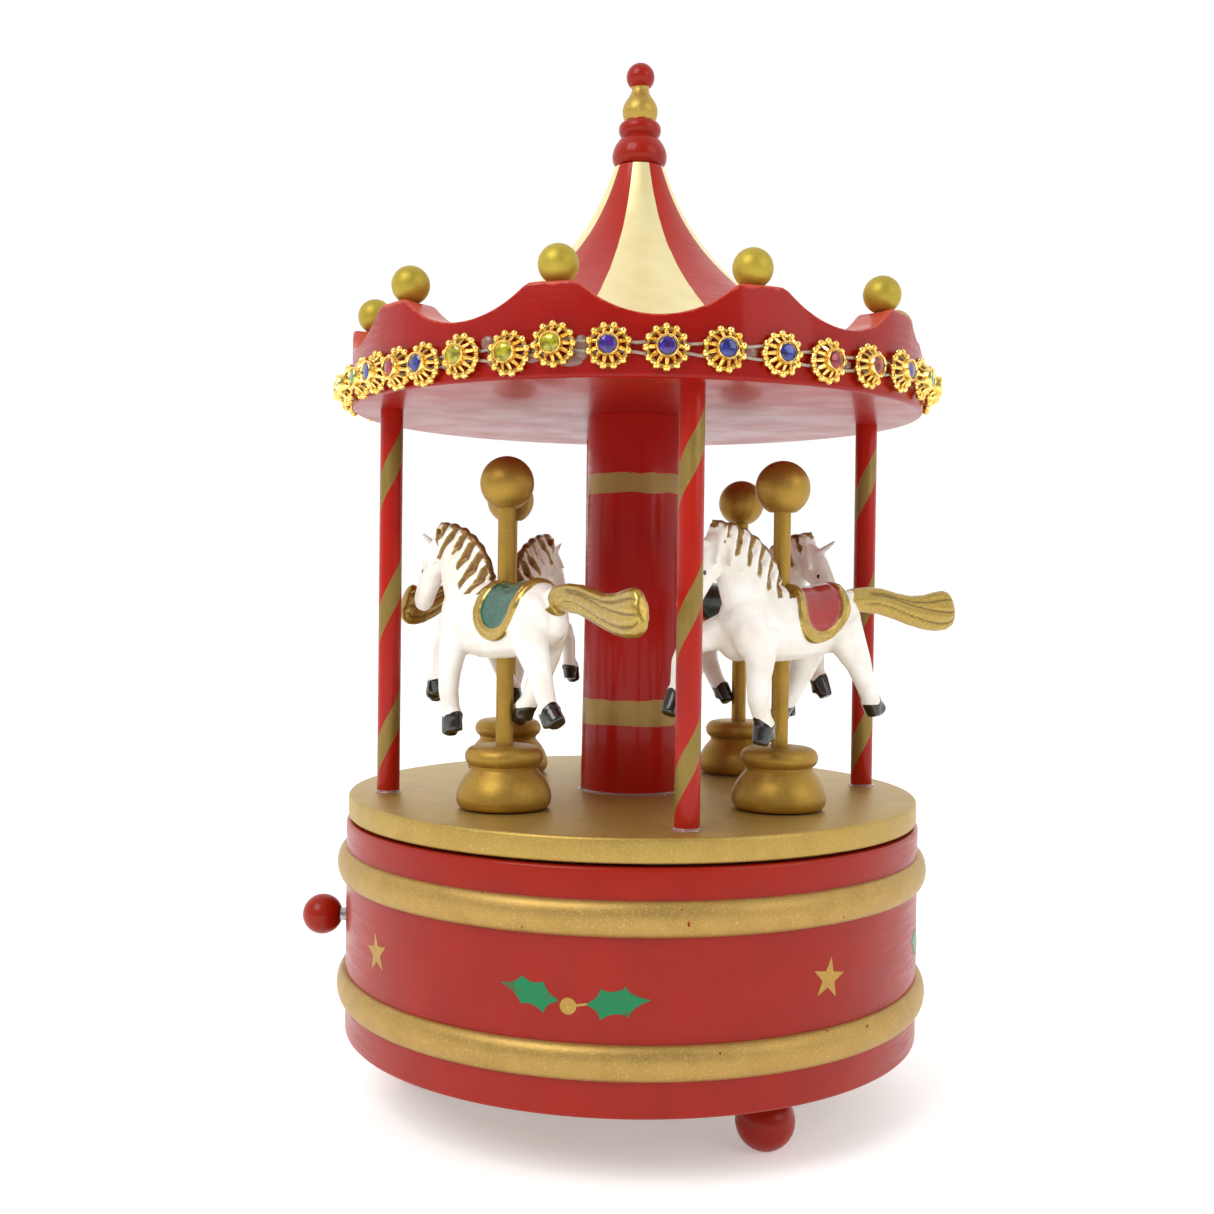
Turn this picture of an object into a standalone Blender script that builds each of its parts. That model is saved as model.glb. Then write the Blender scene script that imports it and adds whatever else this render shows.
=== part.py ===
"""Carousel music box: a turned drum with a music movement inside and a turntable that carries
four horses, four striped poles, a column and a crown roof. The frame is +Z up, with the origin
on the spin axis at the bottom of the feet. Sizes below are in millimetres; MM makes them metres.
"""

import math

import bmesh
import bpy
from mathutils import Matrix, Vector

MM = 0.001
GAP = 0.3

# Heights, from the surface that the feet stand on
DRUM_BOTTOM = 13.1
DRUM_TOP = 56.1
TABLE_BOTTOM = 56.6
TABLE_TOP = 61.2
ROOF_BOTTOM = 139.2
CROWN_TOP = 155.8
SCALLOP_LOW = 150.0
FINIAL_BOTTOM = 191.6
FINIAL_TOP = 213.4

# Drum and base
DRUM_RADIUS = 59.1
DRUM_WALL = 3.5
BOARD_RADIUS = DRUM_RADIUS - DRUM_WALL - GAP
BOARD_THICK = 4.0
DECK_THICK = 4.8
HOOP_RADIUS = 60.85
HOOP_HEIGHT = 6.3
HOOP_CENTRES = {"lower_hoop": 22.8, "upper_hoop": 47.4}
FOOT_RADIUS = 5.6
FOOT_CENTRE = 5.2
FOOT_CIRCLE = 44.5
FOOT_ANGLES = (-14.3, 105.7, 225.7)

# Turntable and what stands on it
TABLE_RADIUS = 58.9
COLUMN_BASE_RADIUS = 10.8
COLUMN_TOP_RADIUS = 9.9
POLE_RADIUS = 2.3
POLE_CIRCLE = 50.8
POLE_START = -38.2
HORSE_CIRCLE = 37.5
ROD_RADIUS = 1.65
BEAD_RADIUS = 5.3
BEAD_CENTRE = 123.1
PEDESTAL_RADIUS = 9.15
PEDESTAL_TOP = 73.2
HORSE_YAW = -8.0
TURNED_HORSE_YAW = 15.0
HORSE_OFFSET = 1.5
HORSE_TAIL = 28.0
TURNED_HORSE_TAIL = 17.0

# Roof
ROOF_RADIUS = 58.8
CROWN_INNER = 50.5
ROOF_BOARD = 4.0
SCALLOP_COUNT = 10
SCALLOP_RADIUS = 19.1
CROWN_START = 8.1
CROWN_BALL_RADIUS = 3.6
CROWN_BALL_CIRCLE = 54.7
CROWN_BALL_CENTRE = 159.4
TRIM_RADIUS = 62.5
TRIM_HEIGHT = 8.0
TRIM_CENTRE = 145.5

# Stop knob, on a ray that passes through the governor spindle
KNOB_ANGLE = -139.3
KNOB_RADIUS = 4.2
KNOB_CENTRE = 65.2
KNOB_HEIGHT = 33.6
STOP_ROD_RADIUS = 1.4

# Music movement, in its own frame: +X along the cylinder, turned so the governor meets the knob
CYLINDER_HEIGHT = 40.0
CYLINDER_RADIUS = 6.4
BEDPLATE_BOTTOM = DRUM_BOTTOM + BOARD_THICK + GAP
BEDPLATE_TOP = BEDPLATE_BOTTOM + 2.5
BARREL_RADIUS = 12.0
BARREL_TOP = 32.1
CROWN_GEAR_TEETH = 26
CROWN_GEAR_RADIUS = 13.0
PINION_TEETH = 13
SPUR_TEETH = 30
SPUR_RADIUS = 7.5
GOVERNOR_PINION_TEETH = 10
GOVERNOR_PINION_RADIUS = 2.5
GOVERNOR_OFFSET = -(SPUR_RADIUS + GOVERNOR_PINION_RADIUS)
WORM_WHEEL_TEETH = 20
WORM_WHEEL_RADIUS = 5.2
WORM_WHEEL_X = 35.0
WORM_PITCH = 1.5
WORM_SPACING = 6.65
WORM_Y = GOVERNOR_OFFSET - WORM_SPACING
MOVEMENT_ANGLE = KNOB_ANGLE - math.degrees(math.atan2(WORM_Y, WORM_WHEEL_X))
SPINDLE_CIRCLE = math.hypot(WORM_WHEEL_X, WORM_Y)
BRAKE_DISC_RADIUS = 3.0

# Facets round a full turn
LARGE_STEPS = 52
MEDIUM_STEPS = 18
SMALL_STEPS = 14

RED = ("B0130C", 0.25, 0.0)
GOLD = ("B08A3C", 0.38, 0.7)
WHITE = ("E6E1D6", 0.45, 0.0)
BRASS = ("C8A24E", 0.3, 1.0)
STEEL = ("B4B6B8", 0.35, 1.0)
ZINC = ("8E9092", 0.45, 1.0)
BOARD = ("8A6A45", 0.6, 0.0)
FELT = ("6B2A24", 0.9, 0.0)


def clear_scene():
    for obj in list(bpy.data.objects):
        bpy.data.objects.remove(obj, do_unlink=True)


clear_scene()
PARTS = bpy.data.collections.new("carousel_music_box")
CUTTERS = bpy.data.collections.new("cutters")
bpy.context.scene.collection.children.link(PARTS)
bpy.context.scene.collection.children.link(CUTTERS)
CUTTERS.hide_render = True


def material(finish):
    """A Principled material for one of the finishes above, made once."""
    colour, roughness, metallic = finish
    name = "finish_" + colour
    found = bpy.data.materials.get(name)
    if found:
        return found
    made = bpy.data.materials.new(name)
    made.use_nodes = True
    shader = made.node_tree.nodes["Principled BSDF"]
    shade = [int(colour[i : i + 2], 16) / 255 for i in (0, 2, 4)]
    linear = [((c + 0.055) / 1.055) ** 2.4 if c > 0.04045 else c / 12.92 for c in shade]
    shader.inputs["Base Color"].default_value = (*linear, 1.0)
    shader.inputs["Roughness"].default_value = roughness
    shader.inputs["Metallic"].default_value = metallic
    return made


def add_object(name, mesh, finish=None, location=(0, 0, 0), parent=None):
    """Puts a mesh in the scene as a part or, with no finish, as a cutter."""
    obj = bpy.data.objects.new(name, mesh)
    obj.location = Vector(location) * MM
    obj.parent = parent
    if finish is None:
        CUTTERS.objects.link(obj)
        obj.hide_render = True
        obj.display_type = "WIRE"
        return obj
    PARTS.objects.link(obj)
    if not mesh.materials:
        mesh.materials.append(material(finish))
    return obj


def add_empty(name, location=(0, 0, 0), angle=0.0):
    empty = bpy.data.objects.new(name, None)
    empty.location = Vector(location) * MM
    empty.rotation_euler.z = math.radians(angle)
    PARTS.objects.link(empty)
    return empty


def around(radius, angle, height=0.0):
    turn = math.radians(angle)
    return Vector((radius * math.cos(turn), radius * math.sin(turn), height))


def evaluated_mesh(obj):
    """The object's mesh with its modifiers applied, and the object removed."""
    graph = bpy.context.evaluated_depsgraph_get()
    mesh = bpy.data.meshes.new_from_object(obj.evaluated_get(graph))
    bm = bmesh.new()
    bm.from_mesh(mesh)
    bmesh.ops.remove_doubles(bm, verts=bm.verts, dist=1e-7)
    bm.to_mesh(mesh)
    bm.free()
    bpy.data.objects.remove(obj, do_unlink=True)
    return mesh


def screw(obj, steps):
    turn = obj.modifiers.new("turn", "SCREW")
    turn.steps = steps
    turn.render_steps = steps
    turn.use_merge_vertices = True
    turn.merge_threshold = 1e-5
    turn.use_smooth_shade = True
    return obj


def profile_mesh(name, profile, closed):
    mesh = bpy.data.meshes.new(name)
    points = [(r * MM, 0, z * MM) for r, z in profile]
    edges = [(i, i + 1) for i in range(len(points) - 1)]
    if closed:
        edges.append((len(points) - 1, 0))
    mesh.from_pydata(points, edges, [])
    return mesh


def turned(name, profile, steps, finish=None, closed=False, location=(0, 0, 0), parent=None):
    """A solid of revolution. The profile holds (radius, height), down the outer side."""
    mesh = profile_mesh(name, profile, closed)
    return screw(add_object(name, mesh, finish, location, parent), steps)


def bead_profile(radius, centre, low, high, points):
    """A ball's profile from height high to height low, down its outer side."""
    start = math.acos(max(-1, min(1, (high - centre) / radius)))
    end = math.acos(max(-1, min(1, (low - centre) / radius)))
    turns = [start + (end - start) * i / (points - 1) for i in range(points)]
    return [(radius * math.sin(t), centre + radius * math.cos(t)) for t in turns]


def half_round(radius, centre, half, bulge, points):
    """The outer side of a half-round band, top to bottom."""
    turns = [math.pi * i / (points - 1) for i in range(points)]
    return [(radius - bulge + bulge * math.sin(t), centre + half * math.cos(t)) for t in turns]


def box_mesh(name, low, high):
    mesh = bpy.data.meshes.new(name)
    bm = bmesh.new()
    add_box(bm, low, high)
    bm.to_mesh(mesh)
    bm.free()
    return mesh


def add_box(bm, low, high):
    low, high = Vector(low) * MM, Vector(high) * MM
    size = high - low
    place = Matrix.Translation((low + high) / 2) @ Matrix.Diagonal((*size, 1))
    bmesh.ops.create_cube(bm, size=1, matrix=place)


def add_rod(bm, start, end, radius, end_radius=None, segments=SMALL_STEPS):
    """A straight rod, or a cone where the end radius differs."""
    start, end = Vector(start) * MM, Vector(end) * MM
    along = end - start
    turn = Vector((0, 0, 1)).rotation_difference(along).to_matrix().to_4x4()
    bmesh.ops.create_cone(
        bm,
        cap_ends=True,
        segments=segments,
        radius1=radius * MM,
        radius2=(radius if end_radius is None else end_radius) * MM,
        depth=along.length,
        matrix=Matrix.Translation((start + end) / 2) @ turn,
    )


def rod_mesh(name, start, end, radius, segments=SMALL_STEPS):
    mesh = bpy.data.meshes.new(name)
    bm = bmesh.new()
    add_rod(bm, start, end, radius, segments=segments)
    bm.to_mesh(mesh)
    bm.free()
    return mesh


def boolean(obj, other, operation):
    step = obj.modifiers.new(other.name, "BOOLEAN")
    step.operation = operation
    step.object = other
    step.solver = "EXACT"
    return obj


def drill(obj, start, end, radius, segments=SMALL_STEPS):
    """Cuts a round hole through the object, in the frame of the object's parent."""
    name = f"{obj.name}_hole_{len(obj.modifiers)}"
    cutter = add_object(name, rod_mesh(name, start, end, radius, segments), parent=obj.parent)
    return boolean(obj, cutter, "DIFFERENCE")


def unite(obj, mesh):
    tool = add_object(f"{obj.name}_joined_{len(obj.modifiers)}", mesh, parent=obj.parent)
    return boolean(obj, tool, "UNION")


def gear_mesh(name, teeth, root, tip, half_root, half_tip, thickness, phase=0.0):
    """A spur gear round Z, centred on the origin. The half widths are tooth widths at root and tip."""
    mesh = bpy.data.meshes.new(name)
    bm = bmesh.new()
    bmesh.ops.create_cone(
        bm,
        cap_ends=True,
        segments=4 * teeth,
        radius1=root * MM,
        radius2=root * MM,
        depth=thickness * MM,
    )
    bm.verts.ensure_lookup_table()
    ordered = sorted(bm.verts, key=lambda v: (v.co.z > 0, math.atan2(v.co.y, v.co.x) % math.tau))
    edges = ((root, -half_root), (tip, -half_tip), (tip, half_tip), (root, half_root))
    for number, vert in enumerate(ordered):
        tooth, corner = divmod(number % (4 * teeth), 4)
        radius, offset = edges[corner]
        turn = math.tau * (tooth + phase) / teeth + offset / radius
        vert.co.x = radius * MM * math.cos(turn)
        vert.co.y = radius * MM * math.sin(turn)
    bm.to_mesh(mesh)
    bm.free()
    return mesh


def onto_x_axis(mesh, x, y, z):
    """Moves a mesh made round Z so that it is round a line along X."""
    mesh.transform(Matrix.Translation(Vector((x, y, z)) * MM) @ Matrix.Rotation(math.pi / 2, 4, "Y"))
    return mesh


# ---------------------------------------------------------------- drum, boards and feet


def make_drum():
    wall = [
        (DRUM_RADIUS, DRUM_TOP),
        (DRUM_RADIUS, DRUM_BOTTOM),
        (DRUM_RADIUS - DRUM_WALL, DRUM_BOTTOM),
        (DRUM_RADIUS - DRUM_WALL, DRUM_TOP),
    ]
    drum = turned("base_drum", wall, LARGE_STEPS, RED, closed=True)
    inner = around(DRUM_RADIUS - 8, KNOB_ANGLE, KNOB_HEIGHT)
    outer = around(DRUM_RADIUS + 4, KNOB_ANGLE, KNOB_HEIGHT)
    drill(drum, inner, outer, STOP_ROD_RADIUS + GAP)

    for name, centre in HOOP_CENTRES.items():
        bulge = HOOP_RADIUS - DRUM_RADIUS - GAP
        outside = half_round(HOOP_RADIUS, centre, HOOP_HEIGHT / 2, bulge, 5)
        turned(name, outside, LARGE_STEPS, GOLD, closed=True)


def make_boards():
    deck = [
        (BOARD_RADIUS, DRUM_TOP),
        (BOARD_RADIUS, DRUM_TOP - DECK_THICK),
        (4.2, DRUM_TOP - DECK_THICK),
        (4.2, DRUM_TOP),
    ]
    turned("deck_board", deck, LARGE_STEPS, BOARD, closed=True)
    bottom = [
        (BOARD_RADIUS, DRUM_BOTTOM + BOARD_THICK),
        (BOARD_RADIUS, DRUM_BOTTOM),
        (4.0, DRUM_BOTTOM),
        (4.0, DRUM_BOTTOM + BOARD_THICK),
    ]
    turned("bottom_board", bottom, LARGE_STEPS, BOARD, closed=True)


def make_feet():
    neck = 2.4
    ball_top = FOOT_CENTRE + math.sqrt(FOOT_RADIUS**2 - neck**2)
    ball = bead_profile(FOOT_RADIUS, FOOT_CENTRE, 0.0, ball_top, 7)
    top = DRUM_BOTTOM - GAP
    profile = [(0, top), (neck, top), *ball, (0, 0)]
    for number, angle in enumerate(FOOT_ANGLES, 1):
        turned(f"foot_{number}", profile, SMALL_STEPS, RED, location=around(FOOT_CIRCLE, angle))


# ---------------------------------------------------------------- music movement


def make_bedplate(movement):
    mesh = box_mesh("bedplate", (-15, -19, BEDPLATE_BOTTOM), (45, 21, BEDPLATE_TOP))
    plate = add_object("bedplate", mesh, ZINC, parent=movement)
    comb_seat = box_mesh("comb_seat", (16.5, 13.5, BEDPLATE_TOP - 1), (34, 20.5, 39.0))
    unite(plate, comb_seat)
    drill(plate, (0, 0, BEDPLATE_BOTTOM - 1), (0, 0, BEDPLATE_TOP + 1), 2.5)


def make_comb(movement):
    teeth, pitch, tooth, back, front = 18, 0.92, 0.62, 20.0, CYLINDER_RADIUS + 0.5
    first = 17.0
    points = [(first, back)]
    for number in range(teeth):
        left = first + number * pitch
        slot_end = front + 8.5 - 0.2 * number
        points += [(left, front), (left + tooth, front)]
        if number < teeth - 1:
            points += [(left + tooth, slot_end), (left + pitch, slot_end)]
    points.append((first + (teeth - 1) * pitch + tooth, back))
    curve = bpy.data.curves.new("comb", "CURVE")
    curve.dimensions = "2D"
    curve.fill_mode = "BOTH"
    curve.extrude = 0.7 * MM
    line = curve.splines.new("POLY")
    line.points.add(len(points) - 1)
    for point, (x, y) in zip(line.points, points):
        point.co = (x * MM, y * MM, 0, 1)
    line.use_cyclic_u = True
    curve.materials.append(material(STEEL))
    comb = bpy.data.objects.new("comb", curve)
    comb.location.z = CYLINDER_HEIGHT * MM
    comb.parent = movement
    PARTS.objects.link(comb)


def make_bearings(movement):
    for name, x in (("inner_bearing", 14.7), ("outer_bearing", 41.5)):
        mesh = box_mesh(name, (x, -4, BEDPLATE_TOP + GAP), (x + 1.2, 4, CYLINDER_HEIGHT + 3.5))
        plate = add_object(name, mesh, BRASS, parent=movement)
        drill(plate, (x - 1, 0, CYLINDER_HEIGHT), (x + 2.2, 0, CYLINDER_HEIGHT), 1.25)


def make_governor_frame(movement):
    mesh = bpy.data.meshes.new("governor_frame")
    bm = bmesh.new()
    add_box(bm, (36.6, -13.6, BEDPLATE_TOP + GAP), (37.8, -3.5, 45.3))
    bm.to_mesh(mesh)
    bm.free()
    frame = add_object("governor_frame", mesh, BRASS, parent=movement)
    unite(frame, box_mesh("upper_wall", (36.6, -9, 45.0), (37.8, -3.5, 50.2)))
    unite(frame, box_mesh("top_lug", (33.8, -18.2, 49.6), (37.8, -3.5, 50.8)))
    unite(frame, box_mesh("bottom_lug", (33.8, -18.2, 29.3), (37.3, -12.5, 30.5)))
    unite(frame, box_mesh("frame_foot", (33.8, -13.6, BEDPLATE_TOP + GAP), (41, -3.5, 21.4)))
    height = CYLINDER_HEIGHT
    drill(frame, (36, GOVERNOR_OFFSET, height), (38.5, GOVERNOR_OFFSET, height), 1.0)


def make_cylinder(movement):
    axis = add_empty("cylinder_axis", (0, 0, CYLINDER_HEIGHT))
    axis.parent = movement
    shaft = rod_mesh("cylinder", (11.6, 0, 0), (43.2, 0, 0), 1.0, 12)
    cylinder = add_object("cylinder", shaft, BRASS, parent=axis)
    unite(cylinder, rod_mesh("music_drum", (16.6, 0, 0), (33.4, 0, 0), CYLINDER_RADIUS, 32))
    pinion = gear_mesh("pinion", PINION_TEETH, 5.6, 7.3, 0.6, 0.35, 2.2)
    unite(cylinder, onto_x_axis(pinion, 13.1, 0, 0))
    spur = gear_mesh("spur", SPUR_TEETH, 6.9, 7.85, 0.42, 0.18, 1.6, phase=0.5)
    unite(cylinder, onto_x_axis(spur, 39.4, 0, 0))


def make_governor_wheel(movement):
    axis = add_empty("governor_wheel_axis", (0, GOVERNOR_OFFSET, CYLINDER_HEIGHT))
    axis.parent = movement
    shaft = rod_mesh("governor_wheel", (33.8, 0, 0), (41.2, 0, 0), 0.7, 12)
    wheel = add_object("governor_wheel", shaft, BRASS, parent=axis)
    pinion = gear_mesh("small_pinion", GOVERNOR_PINION_TEETH, 1.95, 2.85, 0.4, 0.16, 1.6)
    unite(wheel, onto_x_axis(pinion, 39.4, 0, 0))
    teeth = gear_mesh("worm_wheel", WORM_WHEEL_TEETH, 4.5, WORM_WHEEL_RADIUS, 0.4, 0.15, 0.8)
    unite(wheel, onto_x_axis(teeth, WORM_WHEEL_X, 0, 0))


def worm_thread():
    """A right-handed thread as a tube round Z, three and a half turns at the wheel's height."""
    turns, steps, radius = 3.5, 10, 1.35
    curve = bpy.data.curves.new("worm_thread", "CURVE")
    curve.dimensions = "3D"
    curve.bevel_depth = 0.38 * MM
    curve.bevel_resolution = 1
    curve.use_fill_caps = True
    line = curve.splines.new("POLY")
    count = int(turns * steps)
    line.points.add(count)
    for number, point in enumerate(line.points):
        turn = math.tau * (number - count / 2) / steps + math.pi / 2
        height = WORM_PITCH * (number - count / 2) / steps + WORM_PITCH / 2
        place = (radius * math.cos(turn), radius * math.sin(turn), height)
        point.co = (*(Vector(place) * MM), 1)
    helix = bpy.data.objects.new("worm_thread", curve)
    CUTTERS.objects.link(helix)
    bpy.context.view_layer.update()
    mesh = evaluated_mesh(helix)
    mesh.transform(Matrix.Translation((0, 0, CYLINDER_HEIGHT * MM)))
    return mesh


def make_governor_fan(movement):
    axis = add_empty("governor_fan_axis", (WORM_WHEEL_X, WORM_Y, 0))
    axis.parent = movement
    spindle = rod_mesh("governor_fan", (0, 0, 30.8), (0, 0, 49.3), 0.6, 12)
    fan = add_object("governor_fan", spindle, STEEL, parent=axis)
    unite(fan, rod_mesh("worm_core", (0, 0, 36.4), (0, 0, 43.6), 1.2, 16))
    unite(fan, worm_thread())
    disc_low, disc_high = KNOB_HEIGHT - 1, KNOB_HEIGHT + 1
    unite(fan, rod_mesh("brake_disc", (0, 0, disc_low), (0, 0, disc_high), BRAKE_DISC_RADIUS, 20))
    unite(fan, box_mesh("blade", (-5, -0.35, 46), (5, 0.35, 49)))


def make_barrel():
    """The spring barrel: a cup open below, a toothed rim, and the output shaft on top."""
    rim = CROWN_GEAR_RADIUS + 1.2
    profile = [
        (0, 55.0),
        (2.0, 55.0),
        (2.0, BARREL_TOP),
        (rim, BARREL_TOP),
        (rim, BARREL_TOP - 1.2),
        (BARREL_RADIUS, BARREL_TOP - 1.2),
        (BARREL_RADIUS, 20.6),
        (BARREL_RADIUS - 1, 20.6),
        (BARREL_RADIUS - 1, BARREL_TOP - 1.6),
        (0, BARREL_TOP - 1.6),
    ]
    barrel = turned("spring_barrel", profile, 32, BRASS)
    mesh = bpy.data.meshes.new("crown_teeth")
    bm = bmesh.new()
    bmesh.ops.create_cube(bm, size=1)
    for vert in bm.verts:
        half = 0.36 if vert.co.z > 0 else 0.58
        height = CYLINDER_HEIGHT - 6.1 if vert.co.z > 0 else BARREL_TOP - 0.4
        radius = CROWN_GEAR_RADIUS + (0.9 if vert.co.x > 0 else -1.0)
        vert.co = Vector((radius, half if vert.co.y > 0 else -half, height)) * MM
    first = list(bm.verts) + list(bm.edges) + list(bm.faces)
    for number in range(1, CROWN_GEAR_TEETH):
        copy = bmesh.ops.duplicate(bm, geom=first)["geom"]
        verts = [item for item in copy if isinstance(item, bmesh.types.BMVert)]
        turn = Matrix.Rotation(math.tau * number / CROWN_GEAR_TEETH, 3, "Z")
        bmesh.ops.rotate(bm, verts=verts, cent=(0, 0, 0), matrix=turn)
    half_pitch = Matrix.Rotation(math.radians(MOVEMENT_ANGLE) + math.pi / CROWN_GEAR_TEETH, 3, "Z")
    bmesh.ops.rotate(bm, verts=list(bm.verts), cent=(0, 0, 0), matrix=half_pitch)
    bm.to_mesh(mesh)
    bm.free()
    unite(barrel, mesh)


def make_winding():
    arbor = rod_mesh("winding_arbor", (0, 0, 6.5), (0, 0, 30.0), 1.5)
    add_object("winding_arbor", arbor, STEEL)

    turns, steps, start, end = 4.5, 14, 2.5, 10.2
    curve = bpy.data.curves.new("mainspring", "CURVE")
    curve.dimensions = "2D"
    curve.fill_mode = "BOTH"
    curve.extrude = 4 * MM
    count = int(turns * steps)
    radii = [start + (end - start) * i / count for i in range(count + 1)]
    spiral = [(r, math.tau * i / steps) for i, r in enumerate(radii)]
    outline = spiral + [(r - 0.5, turn) for r, turn in reversed(spiral)]
    line = curve.splines.new("POLY")
    line.points.add(len(outline) - 1)
    for point, (radius, turn) in zip(line.points, outline):
        point.co = (radius * math.cos(turn) * MM, radius * math.sin(turn) * MM, 0, 1)
    line.use_cyclic_u = True
    curve.materials.append(material(STEEL))
    spring = bpy.data.objects.new("mainspring", curve)
    spring.location.z = 25.5 * MM
    PARTS.objects.link(spring)

    hub = turned("winding_key", [(0, 10.5), (3.2, 10.5), (3.2, 4.5), (0, 4.5)], 16, BRASS)
    unite(hub, box_mesh("key_wings", (-12, -1, 4.0), (12, 1, 9.8)))
    drill(hub, (0, 0, 6.2), (0, 0, 12), 1.8)


def make_stop():
    """The stop slides along the knob's ray: felt pad, rod and knob, in line with the brake disc."""
    empty = add_empty("stop_slide", (0, 0, KNOB_HEIGHT), KNOB_ANGLE)
    pad_start = SPINDLE_CIRCLE + BRAKE_DISC_RADIUS + 0.15
    pad_end = pad_start + 2.0
    pad = rod_mesh("brake_pad", (pad_start, 0, 0), (pad_end, 0, 0), 1.6, 12)
    add_object("brake_pad", pad, FELT, parent=empty)
    rod_end = KNOB_CENTRE - KNOB_RADIUS + 1.5
    rod = rod_mesh("stop_rod", (pad_end + GAP, 0, 0), (rod_end, 0, 0), STOP_ROD_RADIUS, 12)
    add_object("stop_rod", rod, RED, parent=empty)
    profile = [(0, KNOB_RADIUS), *bead_profile(KNOB_RADIUS, 0, -KNOB_RADIUS, KNOB_RADIUS, 8)[1:-1],
               (0, -KNOB_RADIUS)]
    ball = turned("stop_knob", profile, SMALL_STEPS, RED, location=(KNOB_CENTRE, 0, 0), parent=empty)
    drill(ball, (KNOB_CENTRE - KNOB_RADIUS - 1, 0, 0), (rod_end + GAP, 0, 0), STOP_ROD_RADIUS + GAP)


# ---------------------------------------------------------------- turntable and what it carries


def make_turntable():
    edge = half_round(TABLE_RADIUS, (TABLE_BOTTOM + TABLE_TOP) / 2, 1.9, 1.2, 4)
    table = [
        (TABLE_RADIUS - 1.6, TABLE_TOP),
        *edge,
        (TABLE_RADIUS - 1.6, TABLE_BOTTOM),
        (3.9, TABLE_BOTTOM),
        (3.9, TABLE_TOP),
    ]
    turned("turntable", table, LARGE_STEPS, GOLD, closed=True)
    hub = [(0, 60.8), (3.6, 60.8), (3.6, 48.0), (2.3, 48.0), (2.3, 55.4), (0, 55.4)]
    turned("drive_hub", hub, 16, BRASS)
    bottom = TABLE_TOP + GAP
    top = ROOF_BOTTOM - GAP
    column = [(0, top), (COLUMN_TOP_RADIUS, top), (COLUMN_BASE_RADIUS, bottom), (0, bottom)]
    turned("column", column, 36, RED)


def make_outer_poles():
    bottom = TABLE_TOP + GAP
    top = ROOF_BOTTOM - GAP
    profile = [(0, top), (POLE_RADIUS, top), (POLE_RADIUS, bottom), (0, bottom)]
    for number in range(4):
        place = around(POLE_CIRCLE, POLE_START + 90 * number)
        turned(f"outer_pole_{number + 1}", profile, SMALL_STEPS, RED, location=place)


def pedestal_profile():
    bottom = TABLE_TOP + GAP
    ring = half_round(7.5, PEDESTAL_TOP - 2.0, 1.9, 1.5, 5)
    bell = [(6.3, 68.8), (7.6, 67.6), (8.8, 65.4), (PEDESTAL_RADIUS, 63.4), (8.5, bottom)]
    return [(0, PEDESTAL_TOP), (5.2, PEDESTAL_TOP), *ring, *bell, (0, bottom)]


def horse_frame(yaw):
    """From the horse's own frame (forward, left and up) to world at the +X horse's place."""
    forward_to_minus_y = Matrix.Rotation(-math.pi / 2, 4, "Z")
    turn = Matrix.Rotation(math.radians(yaw), 4, "Z")
    shift = Matrix.Translation(Vector((HORSE_OFFSET, 0, 0)) * MM)
    return shift @ turn @ forward_to_minus_y


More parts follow.
